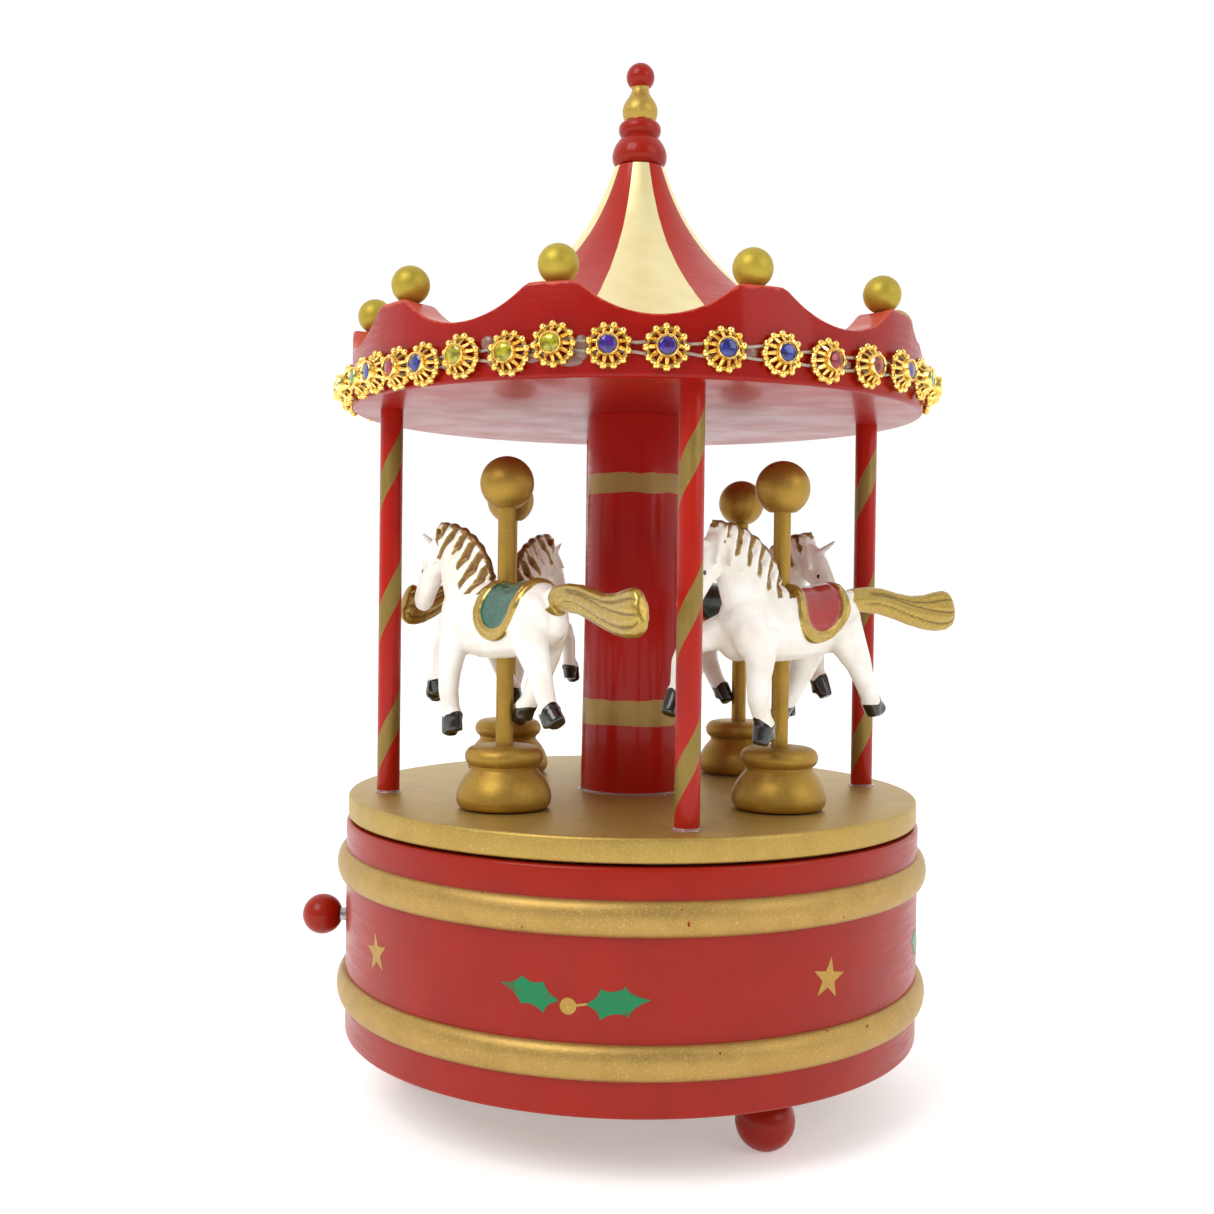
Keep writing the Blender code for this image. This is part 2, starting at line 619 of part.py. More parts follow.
def horse_mesh(name, yaw, tail):
    """The resin horse round its rod's axis, with the head towards -Y and the tail swept outwards."""
    bm = bmesh.new()

    def limb(*stations):
        """Cones and balls along stations of (forward, left, up, radius)."""
        for x, y, z, radius in stations:
            place = Matrix.Translation(Vector((x, y, z)) * MM)
            bmesh.ops.create_icosphere(bm, subdivisions=2, radius=radius * MM, matrix=place)
        for a, b in zip(stations, stations[1:]):
            add_rod(bm, a[:3], b[:3], a[3], b[3], segments=12)

    def lump(x, y, z, size):
        place = Matrix.Translation(Vector((x, y, z)) * MM) @ Matrix.Diagonal((*size, 1))
        bmesh.ops.create_icosphere(bm, subdivisions=3, radius=MM, matrix=place)

    lump(0, 0, 97.3, (15, 5.6, 7.4))
    lump(9, 0, 97.8, (6.6, 5.4, 7.4))
    lump(-11, 0, 98.2, (7.2, 5.8, 7.2))
    limb((9.5, 0, 100, 5.6), (13.5, 0, 106.5, 4.8), (17, 0, 111.5, 3.6))
    limb((18.5, 0, 111.8, 2.9), (22.5, 0, 106.5, 2.9), (25.8, 0, 101.4, 2.2))
    limb((17.5, 0, 114, 1.8), (19.3, 0, 115.6, 0.8))
    limb((15.5, 0, 113.6, 2.2), (8.5, 0, 111, 2.4), (4.2, 0, 106, 2.2))
    limb((11, 3.2, 93, 3.2), (11.8, 3.6, 84, 2.1), (9.6, 3.8, 78.2, 2.0), (9.9, 3.8, 76.2, 1.8))
    limb((13, -3.2, 95, 3.2), (23.5, -3.2, 93, 2.0), (25.5, -3.2, 84.5, 1.5), (26.3, -3.2, 82, 1.6))
    limb((-13, 3.2, 94.5, 4.2), (-17.8, 3.8, 87.2, 2.2), (-20.8, 4, 81.0, 1.9), (-22, 4, 80.3, 1.9))
    limb((-11, -3.2, 94, 4.2), (-8.2, -3.6, 86.5, 2.2), (-3.2, -3.9, 79.9, 1.9), (-2.2, -4, 79.3, 1.8))
    limb(
        (-16, 0.5, 101.2, 2.0),
        (-16 - tail * 0.3, 1.5, 101.8, 2.2),
        (-16 - tail * 0.6, 2.6, 100.0, 2.4),
        (-16 - tail * 0.9, 3.9, 99.2, 2.9),
        (-16 - tail, 4.3, 100.2, 3.0),
    )
    made = bpy.data.meshes.new(f"{name}_rough")
    bm.to_mesh(made)
    bm.free()
    made.transform(horse_frame(yaw))
    sculpt = add_object(f"{name}_sculpt", made)
    remesh = sculpt.modifiers.new("blend", "REMESH")
    remesh.mode = "VOXEL"
    remesh.voxel_size = 1.0 * MM
    reduce = sculpt.modifiers.new("reduce", "DECIMATE")
    reduce.ratio = 0.055
    bore = rod_mesh(f"{name}_bore", (0, 0, 70), (0, 0, 120), ROD_RADIUS + GAP, 12)
    boolean(sculpt, add_object(f"{name}_bore", bore), "DIFFERENCE")
    bpy.context.view_layer.update()
    mesh = evaluated_mesh(sculpt)
    mesh.name = name
    mesh.materials.clear()
    mesh.shade_smooth()
    return mesh


def make_horses():
    shared = horse_mesh("horse", HORSE_YAW, HORSE_TAIL)
    turned_horse = horse_mesh("turned_horse", TURNED_HORSE_YAW, TURNED_HORSE_TAIL)
    pedestal = pedestal_profile()
    rod_bottom = PEDESTAL_TOP + GAP
    rod_top = BEAD_CENTRE - BEAD_RADIUS + 0.4
    rod = [(0, rod_top), (ROD_RADIUS, rod_top), (ROD_RADIUS, rod_bottom), (0, rod_bottom)]
    bead_bottom = rod_top + GAP
    bead = bead_profile(BEAD_RADIUS, BEAD_CENTRE, bead_bottom, BEAD_CENTRE + BEAD_RADIUS, 8)
    for number in range(4):
        turn = 90 * number
        seat = add_empty(f"horse_seat_{number + 1}", around(HORSE_CIRCLE, turn), turn)
        label = number + 1
        turned(f"pedestal_{label}", pedestal, MEDIUM_STEPS, GOLD, parent=seat)
        turned(f"horse_pole_{label}", rod, 12, GOLD, parent=seat)
        turned(f"pole_ball_{label}", [(0, BEAD_CENTRE + BEAD_RADIUS), *bead[1:], (0, bead_bottom)],
               SMALL_STEPS, GOLD, parent=seat)
        mesh = turned_horse if label == 3 else shared
        add_object(f"horse_{label}", mesh, WHITE, parent=seat)


# ---------------------------------------------------------------- roof


def make_crown():
    """The roof board with the crown ring on it, scalloped between the balls' flats."""
    board_top = ROOF_BOTTOM + ROOF_BOARD
    profile = [
        (0, board_top),
        (CROWN_INNER, board_top),
        (CROWN_INNER, CROWN_TOP),
        (ROOF_RADIUS, CROWN_TOP),
        (ROOF_RADIUS, ROOF_BOTTOM),
        (0, ROOF_BOTTOM),
    ]
    crown = turned("roof_crown", profile, 80, RED)
    height = SCALLOP_LOW + SCALLOP_RADIUS
    spacing = 360 / SCALLOP_COUNT
    for number in range(SCALLOP_COUNT):
        angle = CROWN_START + spacing * (number + 0.5)
        inner, outer = around(46, angle, height), around(66, angle, height)
        drill(crown, inner, outer, SCALLOP_RADIUS, segments=64)


def cone_profile():
    """The tent roof's outer side: steep at the finial and flaring towards the crown."""
    top, bottom = FINIAL_BOTTOM - GAP, 148.0
    narrow, wide = 5.3, 50.0
    points = []
    for step in range(9):
        fall = step / 8
        flare = 0.34 * fall + 0.66 * fall**2.5
        points.append((narrow + (wide - narrow) * flare, top + (bottom - top) * fall))
    return points


def make_roof():
    make_crown()
    under = ROOF_BOTTOM + ROOF_BOARD + GAP
    outer = cone_profile()
    profile = [(0, outer[0][1]), *outer, (50.0, under), (0, under)]
    turned("roof_cone", profile, 40, RED)

    red_ball = bead_profile(2.95, FINIAL_TOP - 2.95, 208.3, FINIAL_TOP, 6)
    pear = [(2.1, 207.7), (2.7, 206.4), (3.5, 204.8), (3.8, 203.4), (3.55, 201.6)]
    ring = half_round(4.46, 199.3, 1.7, 0.9, 5)
    collar = [(4.3, 197.4), (5.3, 195.6), (5.76, 193.9), (5.5, 192.5), (5.0, FINIAL_BOTTOM)]
    profile = [(0, FINIAL_TOP), *red_ball[1:], *pear, *ring, *collar, (0, FINIAL_BOTTOM)]
    turned("finial", profile, MEDIUM_STEPS, GOLD)

    half = TRIM_HEIGHT / 2
    band_in = ROOF_RADIUS + GAP
    band = [
        (band_in + 0.9, TRIM_CENTRE + half),
        (TRIM_RADIUS, TRIM_CENTRE + 1.6),
        (TRIM_RADIUS, TRIM_CENTRE - 1.6),
        (band_in + 0.9, TRIM_CENTRE - half),
        (band_in, TRIM_CENTRE - half),
        (band_in, TRIM_CENTRE + half),
    ]
    turned("jewel_trim", band, LARGE_STEPS, GOLD, closed=True)

    top = CROWN_BALL_CENTRE + CROWN_BALL_RADIUS
    low = CROWN_TOP + GAP
    ball = bead_profile(CROWN_BALL_RADIUS, CROWN_BALL_CENTRE, low, top, 6)
    for number in range(SCALLOP_COUNT):
        place = around(CROWN_BALL_CIRCLE, CROWN_START + 36 * number)
        turned(f"crown_ball_{number + 1}", [(0, top), *ball[1:], (0, low)], 12, GOLD, location=place)


def main():
    make_drum()
    make_boards()
    make_feet()
    movement = add_empty("movement", angle=MOVEMENT_ANGLE)
    make_bedplate(movement)
    make_comb(movement)
    make_bearings(movement)
    make_governor_frame(movement)
    make_cylinder(movement)
    make_governor_wheel(movement)
    make_governor_fan(movement)
    make_barrel()
    make_winding()
    make_stop()
    make_turntable()
    make_outer_poles()
    make_horses()
    make_roof()
    for mesh in bpy.data.meshes:
        if mesh.polygons and mesh.users:
            mesh.set_sharp_from_angle(angle=math.radians(35))


main()
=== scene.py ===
"""The look of the carousel music box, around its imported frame.

Shapes are made in millimetres, in the row frame, and scaled to metres when a piece is finished.
Angles are in degrees round the carousel's axis, anticlockwise seen from above, from +X.
"""

import math
import random

import bmesh
import bpy
import numpy as np
from mathutils import Matrix, Vector


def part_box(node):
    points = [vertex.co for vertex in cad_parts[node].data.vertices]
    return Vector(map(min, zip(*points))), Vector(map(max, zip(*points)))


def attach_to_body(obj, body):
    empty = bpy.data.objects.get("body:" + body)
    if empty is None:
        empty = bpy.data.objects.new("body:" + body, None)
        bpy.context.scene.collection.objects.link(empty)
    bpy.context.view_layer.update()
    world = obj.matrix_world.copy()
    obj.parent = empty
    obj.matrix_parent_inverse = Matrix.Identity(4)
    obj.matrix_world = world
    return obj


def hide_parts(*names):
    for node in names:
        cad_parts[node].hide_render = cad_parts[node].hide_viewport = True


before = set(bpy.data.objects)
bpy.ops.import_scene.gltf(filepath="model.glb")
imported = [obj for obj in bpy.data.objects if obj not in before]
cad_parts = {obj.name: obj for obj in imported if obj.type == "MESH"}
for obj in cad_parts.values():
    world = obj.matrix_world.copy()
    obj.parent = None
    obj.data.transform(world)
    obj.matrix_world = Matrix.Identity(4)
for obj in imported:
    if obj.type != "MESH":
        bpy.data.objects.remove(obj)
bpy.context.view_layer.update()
MM = 0.001
TAU = math.tau


# ---------------------------------------------------------------- measuring the frame


def reach(node):
    """(half width along X, lowest, highest) of a CAD node, in millimetres."""
    low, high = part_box(node)
    return (high.x - low.x) / 2 / MM, low.z / MM, high.z / MM


def middle(node):
    """Middle of a CAD node, in millimetres."""
    low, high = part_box(node)
    return (low + high) / 2 / MM


def around(radius, angle, height=0.0):
    turn = math.radians(angle)
    return Vector((radius * math.cos(turn), radius * math.sin(turn), height))


def numbered(stem, count):
    """Names of the CAD nodes from stem_1 to stem_count."""
    return [f"{stem}_{number + 1}" for number in range(count)]


DRUM_RADIUS, DRUM_BOTTOM, DRUM_TOP = reach("base_drum")
TABLE_RADIUS, TABLE_BOTTOM, TABLE_TOP = reach("turntable")
CROWN_RADIUS, CROWN_BOTTOM, CROWN_TOP = reach("roof_crown")
COLUMN_RADIUS = reach("column")[0]
CONE_BOTTOM, CONE_TOP = reach("roof_cone")[1:]
FINIAL_BOTTOM, FINIAL_TOP = reach("finial")[1:]
TRIM_RADIUS = reach("jewel_trim")[0]
SHARP_EDGE = 38.0  # degrees: steeper corners keep a crisp edge
LARGE_ROUND = 240  # segments round the drum, its hoops and the platform
OVERLAP = 0.2  # how far a glued end reaches into its neighbour


# ---------------------------------------------------------------- shapes


def softened(profile, radius, steps=3, closed=False):
    """The profile with its corners rounded over by up to radius."""
    points = [Vector(p) for p in profile]
    if closed:
        triples = list(zip(points[-1:] + points[:-1], points, points[1:] + points[:1]))
        made = []
    else:
        triples = list(zip(points, points[1:], points[2:]))
        made = [points[0]]
    for before, corner, after in triples:
        one, two = before - corner, after - corner
        cut = min(radius, one.length * 0.45, two.length * 0.45)
        a, b = corner + one.normalized() * cut, corner + two.normalized() * cut
        for step in range(steps + 1):
            t = step / steps
            made.append(a.lerp(corner, t).lerp(corner.lerp(b, t), t))
    return made if closed else made + [points[-1]]


def arc(radius_in, radius_up, centre, first, last, steps):
    """Points of an ellipse about centre (radius, height), from angle first to last."""
    turns = [math.radians(first + (last - first) * step / steps) for step in range(steps + 1)]
    return [
        (centre[0] + radius_in * math.cos(t), centre[1] + radius_up * math.sin(t)) for t in turns
    ]


def lathe(bm, profile, steps, centre=(0, 0), closed=False):
    """Turns a profile of (radius, height) about an upright axis. UV is (turns, metres up)."""
    first_face = len(bm.faces)
    verts = [bm.verts.new((centre[0] + max(r, 0), centre[1], z)) for r, z in profile]
    pairs = list(zip(verts, verts[1:])) + ([(verts[-1], verts[0])] if closed else [])
    edges = [bm.edges.new(pair) for pair in pairs]
    bmesh.ops.spin(
        bm, geom=verts + edges, cent=(*centre, 0), axis=(0, 0, 1), dvec=(0, 0, 0),
        angle=TAU, steps=steps, use_merge=True, use_duplicate=False,
    )  # fmt: skip
    uv = bm.loops.layers.uv.verify()
    bm.faces.ensure_lookup_table()
    for face in bm.faces[first_face:]:
        mean = face.calc_center_median()
        base = math.atan2(mean.y - centre[1], mean.x - centre[0])
        for loop in face.loops:
            x, y = loop.vert.co.x - centre[0], loop.vert.co.y - centre[1]
            off = 0.0 if math.hypot(x, y) < 0.01 else math.atan2(y, x) - base
            off = (off + math.pi) % TAU - math.pi
            loop[uv].uv = ((base + off) / TAU, loop.vert.co.z * MM)


def sweep(bm, stations, sides=20):
    """A closed limb through stations of (x, y, z, half height, half width), its width along Y."""
    points = [Vector(s[:3]) for s in stations]
    rings = []
    for number, station in enumerate(stations):
        ahead = points[min(number + 1, len(points) - 1)]
        behind = points[max(number - 1, 0)]
        along = (ahead - behind).normalized()
        across = Vector((0, 1, 0))
        across = (across - along * across.dot(along)).normalized()
        up = across.cross(along)
        size = Matrix.Diagonal((station[3], station[4], 1, 1))
        place = Matrix((up, across, along)).transposed().to_4x4()
        ring = bmesh.ops.create_circle(
            bm, segments=sides, radius=1.0, cap_ends=False,
            matrix=Matrix.Translation(points[number]) @ place @ size,
        )  # fmt: skip
        rings.append({edge for vert in ring["verts"] for edge in vert.link_edges})
    for one, two in zip(rings, rings[1:]):
        bmesh.ops.bridge_loops(bm, edges=list(one | two))
    for ring in (rings[0], rings[-1]):
        bmesh.ops.contextual_create(bm, geom=list(ring))


def lump(bm, centre, size, detail=3):
    """An ellipsoid."""
    place = Matrix.Translation(Vector(centre)) @ Matrix.Diagonal((*size, 1))
    bmesh.ops.create_icosphere(bm, subdivisions=detail, radius=1.0, matrix=place)


def spike(bm, root, tip, root_radius, tip_radius=0.15, flat=1.0, sides=10):
    """A cone from root to tip, flattened along Y."""
    root, tip = Vector(root), Vector(tip)
    turn = (tip - root).to_track_quat("Z", "Y").to_matrix().to_4x4()
    squash = Matrix.Diagonal((1, flat, 1, 1))
    made = bmesh.ops.create_cone(
        bm, segments=sides, radius1=root_radius, radius2=tip_radius,
        depth=(tip - root).length, cap_ends=True,
    )  # fmt: skip
    bmesh.ops.transform(
        bm, matrix=Matrix.Translation((root + tip) / 2) @ turn @ squash, verts=made["verts"]
    )


def tube(bm, points, radius, sides=8, closed=False):
    """A round thread through points."""
    points = [Vector(p) for p in points]
    count = len(points)
    rings = []
    for number, point in enumerate(points):
        ahead = points[(number + 1) % count] if closed else points[min(number + 1, count - 1)]
        behind = points[number - 1] if closed else points[max(number - 1, 0)]
        place = (ahead - behind).to_track_quat("Z", "Y").to_matrix().to_4x4()
        ring = bmesh.ops.create_circle(
            bm, segments=sides, radius=radius, cap_ends=False,
            matrix=Matrix.Translation(point) @ place,
        )  # fmt: skip
        rings.append({edge for vert in ring["verts"] for edge in vert.link_edges})
    for one, two in zip(rings, rings[1:] + (rings[:1] if closed else [])):
        bmesh.ops.bridge_loops(bm, edges=list(one | two))
    if not closed:
        for ring in (rings[0], rings[-1]):
            bmesh.ops.contextual_create(bm, geom=list(ring))


def shown(name, data):
    """A new object in the scene that holds a mesh, a light or a camera."""
    obj = bpy.data.objects.new(name, data)
    bpy.context.scene.collection.objects.link(obj)
    return obj


def mesh_of(name, bm, scale=1.0):
    """The finished bmesh as a mesh."""
    bmesh.ops.scale(bm, vec=(scale, scale, scale), verts=bm.verts)
    mesh = bpy.data.meshes.new(name)
    bm.to_mesh(mesh)
    bm.free()
    return mesh


def with_modifiers(obj):
    """The object's mesh with its modifiers applied."""
    bpy.context.view_layer.update()
    graph = bpy.context.evaluated_depsgraph_get()
    return bpy.data.meshes.new_from_object(obj.evaluated_get(graph))


def piece(name, bm, body, paint, nodes=(), sharp=SHARP_EDGE):
    """Finishes a shape made in millimetres as a piece of the object."""
    bmesh.ops.remove_doubles(bm, verts=bm.verts, dist=0.002)
    bmesh.ops.recalc_face_normals(bm, faces=bm.faces)
    mesh = mesh_of(name, bm, MM)
    mesh.shade_smooth()
    mesh.set_sharp_from_angle(angle=math.radians(sharp))
    return attach(name, mesh, body, paint, nodes)


def attach(name, mesh, body, paint, nodes=()):
    """Puts a mesh in the scene: it rides body and takes the place of the CAD nodes."""
    mesh.materials.append(paint)
    obj = shown(name, mesh)
    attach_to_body(obj, body)
    if nodes:
        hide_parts(*nodes)
    return obj


# ---------------------------------------------------------------- shader helpers


def colour(code):
    """Scene colour of an sRGB hex code."""
    parts = [int(code[i : i + 2], 16) / 255 for i in (1, 3, 5)]
    line = [c / 12.92 if c <= 0.04045 else ((c + 0.055) / 1.055) ** 2.4 for c in parts]
    return (*line, 1.0)


SMOOTH = {"interpolation_type": "SMOOTHSTEP"}  # settings of a Map Range that eases in and out
COLOURS = {"data_type": "RGBA", "output": 2}  # settings and output of a Mix of two colours


def add_node(tree, kind, inputs=(), output=0, **settings):
    """Adds a node with its settings, sets or links its inputs, and gives one of its outputs.

    A Mix node takes its factor as 0, two values as 2 and 3, and two colours as 6 and 7.
    """
    node = tree.nodes.new("ShaderNode" + kind)
    for key, value in settings.items():
        setattr(node, key, value)
    rows = inputs.items() if isinstance(inputs, dict) else enumerate(inputs)
    for key, value in rows:
        if isinstance(value, bpy.types.NodeSocket):
            tree.links.new(value, node.inputs[key])
        else:
            node.inputs[key].default_value = value
    return node.outputs[output]


def mottle(tree, size, detail=2.0, stretch=(1, 1, 1), seed=0.0):
    """An uneven pattern with blobs about size millimetres across."""
    place = add_node(tree, "TexCoord", output="Object")
    scale = [s / (size * MM) for s in stretch]
    spread = {"Vector": place, "Location": (seed, seed, seed), "Scale": scale}
    place = add_node(tree, "Mapping", spread)
    pattern = {"Vector": place, "Scale": 1.0, "Detail": detail}
    return add_node(tree, "TexNoise", pattern, output="Fac")


def new_material(name):
    made = bpy.data.materials.new(name)
    made.use_nodes = True
    tree = made.node_tree
    return made, tree, tree.nodes["Principled BSDF"]


def feed(tree, shader, **sockets):
    for key, value in sockets.items():
        socket = shader.inputs[key.replace("_", " ")]
        if isinstance(value, bpy.types.NodeSocket):
            tree.links.new(value, socket)
        else:
            socket.default_value = value


def relief(tree, shader, height, depth):
    """Bumps of up to depth millimetres."""
    bump = add_node(tree, "Bump", {"Strength": 1.0, "Distance": depth * MM, "Height": height})
    feed(tree, shader, Normal=bump)


# ---------------------------------------------------------------- paints
#
# Each paint gives its sockets as a dictionary, so that two of them can share one material.

RED = "#981B07"
DEEP_RED = "#7C1103"
GOLD = "#C3A24C"
OLD_GOLD = "#98793A"
# Hand-applied lacquer mirrors its surroundings less sharply than a moulded surface.
GLOSS = {"Coat_Roughness": 0.10, "Specular_IOR_Level": 0.15}


def red_lacquer(tree, tone=RED, deep=DEEP_RED, seed=0.0):
    """Brushed-on red gloss: slightly uneven colour, orange peel and faint brush lines."""
    cloud = mottle(tree, 9.0, 3.0, seed=seed)
    deeper = add_node(tree, "MapRange", (cloud, 0.3, 0.75, 0.0, 0.3), **SMOOTH)
    brush = mottle(tree, 0.9, 3.0, stretch=(0.08, 0.08, 1.0), seed=seed + 3)
    spots = mottle(tree, 0.8, 5.0, seed=seed + 7)
    worn = add_node(tree, "MapRange", (spots, 0.70, 0.80, 0.0, 0.2), **SMOOTH)
    base = add_node(tree, "Mix", {0: deeper, 6: colour(tone), 7: colour(deep)}, **COLOURS)
    peel = mottle(tree, 1.1, 2.0, seed=seed + 5)
    return {
        "base": add_node(tree, "Mix", {0: worn, 6: base, 7: colour("#A93A22")}, **COLOURS),
        "metal": 0.0,
        "rough": add_node(tree, "MapRange", (brush, 0.3, 0.7, 0.30, 0.42), **SMOOTH),
        "coat": 0.2,
        "height": add_node(tree, "Math", (brush, 0.35, peel), operation="MULTIPLY_ADD"),
    }


def gold_paint(
    tree, tone=GOLD, dark=OLD_GOLD, grain=0.35, seed=0.0, wear=0.0, glint=0.4, metal=0.7
):
    """Bronze-powder gold: grain with pale painted glints, cloudy patches, and bare red specks where
    worn.

    The powder is drawn ten times coarser than it is, so that its painted glints show.
    """
    cloud = mottle(tree, 5.0, 3.0, seed=seed + 1)
    darker = add_node(tree, "MapRange", (cloud, 0.35, 0.75, 0.0, 0.35), **SMOOTH)
    base = add_node(tree, "Mix", {0: darker, 6: colour(tone), 7: colour(dark)}, **COLOURS)
    flake = mottle(tree, grain, 3.0, seed=seed + 2)
    # Pale specks mixed into the base colour are painted glints, standing in for light off the
    # powder's flakes.
    shine = add_node(tree, "MapRange", (flake, 0.5, 0.8, 0.0, glint), **SMOOTH)
    base = add_node(tree, "Mix", {0: shine, 6: base, 7: colour("#E8D593")}, **COLOURS)
    if wear:
        specks = mottle(tree, 1.6, 6.0, seed=seed + 9)
        bare = add_node(tree, "MapRange", (specks, 0.72 - wear, 0.74 - wear), **SMOOTH)
        base = add_node(tree, "Mix", {0: bare, 6: base, 7: colour("#8C2A16")}, **COLOURS)
        metal = add_node(tree, "MapRange", (bare, 0.0, 1.0, metal, 0.0), **SMOOTH)
    return {
        "base": base,
        "metal": metal,
        "rough": add_node(tree, "MapRange", (flake, 0.3, 0.75, 0.38, 0.52), **SMOOTH),
        "coat": 0.0,
        "height": flake,
    }


def one_paint(name, make, depth=0.03, **values):
    made, tree, shader = new_material(name)
    paint = make(tree, **values)
    feed(tree, shader, Base_Color=paint["base"], Metallic=paint["metal"], Roughness=paint["rough"])
    feed(tree, shader, Coat_Weight=paint["coat"], **GLOSS)
    relief(tree, shader, paint["height"], depth)
    return made


def two_paints(name, mask_of, depth=0.03, gold_values=None, red_values=None):
    """Red lacquer with gold where mask_of(tree) is 1."""
    made, tree, shader = new_material(name)
    red = red_lacquer(tree, **(red_values or {}))
    gold = {**gold_paint(tree, **(gold_values or {})), "coat": 0.1}
    mask = mask_of(tree)
    base = add_node(tree, "Mix", {0: mask, 6: red["base"], 7: gold["base"]}, **COLOURS)
    metal, rough, coat, height = (
        add_node(tree, "Mix", {0: mask, 2: red[key], 3: gold[key]})
        for key in ("metal", "rough", "coat", "height")
    )
    feed(tree, shader, Base_Color=base, Metallic=metal, Roughness=rough, Coat_Weight=coat, **GLOSS)
    relief(tree, shader, height, depth)
    return made


def wobble(tree, size, amount):
    """An unsteady hand: from -amount to amount."""
    return add_node(
        tree, "MapRange", (mottle(tree, size, 2.0), 0.25, 0.75, -amount, amount), **SMOOTH
    )


def height_bands(*bands, edge=0.06):
    """A mask of gold bands between heights in millimetres, with slightly unsteady edges."""

    def mask(tree):
        place = add_node(tree, "TexCoord", output="Object")
        z = add_node(tree, "SeparateXYZ", (place,), output="Z")
        z = add_node(
            tree,
            "Math",
            (add_node(tree, "Math", (z, MM), operation="DIVIDE"), wobble(tree, 4.0, 0.22)),
            operation="ADD",
        )
        found = 0.0
        for low, high in bands:
            above = add_node(tree, "MapRange", (z, low - edge, low + edge), **SMOOTH)
            below = add_node(tree, "MapRange", (z, high + edge, high - edge), **SMOOTH)
            inside = add_node(tree, "Math", (above, below), operation="MULTIPLY")
            found = add_node(tree, "Math", (found, inside), operation="MAXIMUM")
        return found

    return mask


def striped(count, start, share, edge, rise=0.0):
    """A mask of gold stripes: count of them round the piece, starting at start degrees.

    Where rise isn't 0 the stripes climb by one turn in that many millimetres.
    """

    def mask(tree):
        place = add_node(tree, "UVMap")
        turns = add_node(tree, "SeparateXYZ", (place,), output="X")
        height = add_node(tree, "SeparateXYZ", (place,), output="Y")
        turns = add_node(tree, "Math", (turns, start / 360), operation="SUBTRACT")
        if rise:
            climb = add_node(tree, "Math", (height, rise * MM), operation="DIVIDE")
            turns = add_node(tree, "Math", (turns, climb), operation="SUBTRACT")
        shift = wobble(tree, 6.0, edge * 0.5)
        phase = add_node(tree, "Math", (turns, count, shift), operation="MULTIPLY_ADD")
        phase = add_node(tree, "Math", (phase, 100.0), operation="ADD")
        phase = add_node(tree, "Math", (phase,), operation="FRACT")
        opening = add_node(tree, "MapRange", (phase, 0.0, edge), **SMOOTH)
        closing = add_node(tree, "MapRange", (phase, share + edge, share), **SMOOTH)
        return add_node(tree, "Math", (opening, closing), operation="MULTIPLY")

    return mask


LACQUER = one_paint("red_gloss_lacquer", red_lacquer, depth=0.035)
GOLD_HOOP = one_paint(
    "gold_paint_hoops", gold_paint, seed=2.0, wear=0.015, tone="#AF8E4E", dark="#94743A"
)
GOLD_TABLE = one_paint(
    "gold_paint_platform", gold_paint, seed=5.0, tone="#B0924C", dark="#9A7E40", grain=0.3
)
GOLD_TURNED = one_paint(
    "gold_paint_turned_parts", gold_paint, seed=8.0, tone="#A68338", dark="#87642A", glint=0.2
)
GOLD_BALL = one_paint(
    "gold_paint_balls", gold_paint,
    seed=3.0, tone="#B39D3A", dark="#8F7A24", grain=0.25, glint=0.2, metal=0.5,
)  # fmt: skip
COLUMN_PAINT = two_paints(
    "red_column_with_gold_bands",
    height_bands((75.3, 80.6), (123.0, 127.0)),
    gold_values={"tone": "#A0824A", "dark": "#8A6D3C", "glint": 0.12, "metal": 0.5},
    red_values={"tone": "#A81208", "deep": "#8C0D04"},
)
FINIAL_PAINT = two_paints(
    "red_and_gold_finial", height_bands((201.2, 208.3)), gold_values={"tone": "#B59645"}
)
POLE_PAINT = two_paints(
    "red_pole_with_gold_spiral",
    striped(1, -3.0, 0.28, 0.012, rise=26.8),
    gold_values={"tone": "#8C743A", "dark": "#7A6430", "glint": 0.12, "metal": 0.5},
    red_values={"tone": "#A81A0A", "deep": "#921206"},
)
CONE_PAINT = two_paints(
    "tent_roof_red_and_gold_sectors",
    striped(5, -45.9 - 18.0, 0.5, 0.006),
    gold_values={"tone": "#F0E2AC", "dark": "#DCC88A", "glint": 0.2},
    red_values={"seed": 21.0, "tone": "#A8200E", "deep": "#921608"},
)


def mottled_material(
    name, size, tones, rough, detail=3.0, stretch=(1, 1, 1), border=(0.0, 1.0), eased=False,
    span=(0.3, 0.7), bumps=None, **sockets,
):  # fmt: skip
    """Two tones in blobs of size millimetres, and a roughness that follows them over span.

    eased draws the border between the tones together, and bumps is (size, depth) in millimetres.
    """
    made, tree, shader = new_material(name)
    blobs = mottle(tree, size, detail, stretch)
    share = add_node(tree, "MapRange", (blobs, *border), **SMOOTH) if eased else blobs
    light, dark = tones
    base = add_node(tree, "Mix", {0: share, 6: colour(light), 7: colour(dark)}, **COLOURS)
    rough = add_node(tree, "MapRange", (blobs, *span, *rough), **SMOOTH)
    feed(tree, shader, Base_Color=base, Roughness=rough, **sockets)
    if bumps:
        relief(tree, shader, mottle(tree, bumps[0], detail, stretch), bumps[1])
    return made


# Dried clear glue: shiny and hazy, pinkish where the red shows through.
CLEAR_GLUE = mottled_material(
    "clear_glue", 0.8, ("#E9D6CC", "#C9897A"), (0.08, 0.25),
    bumps=(0.8, 0.05), Transmission_Weight=0.75,
)  # fmt: skip
# Clear nylon thread: pale, shiny and half see-through.
CLEAR_THREAD = mottled_material(
    "clear_nylon_thread", 1.5, ("#EFE8D6", "#D6CBB4"), (0.08, 0.22),
    detail=2.0, Transmission_Weight=0.6,
)  # fmt: skip
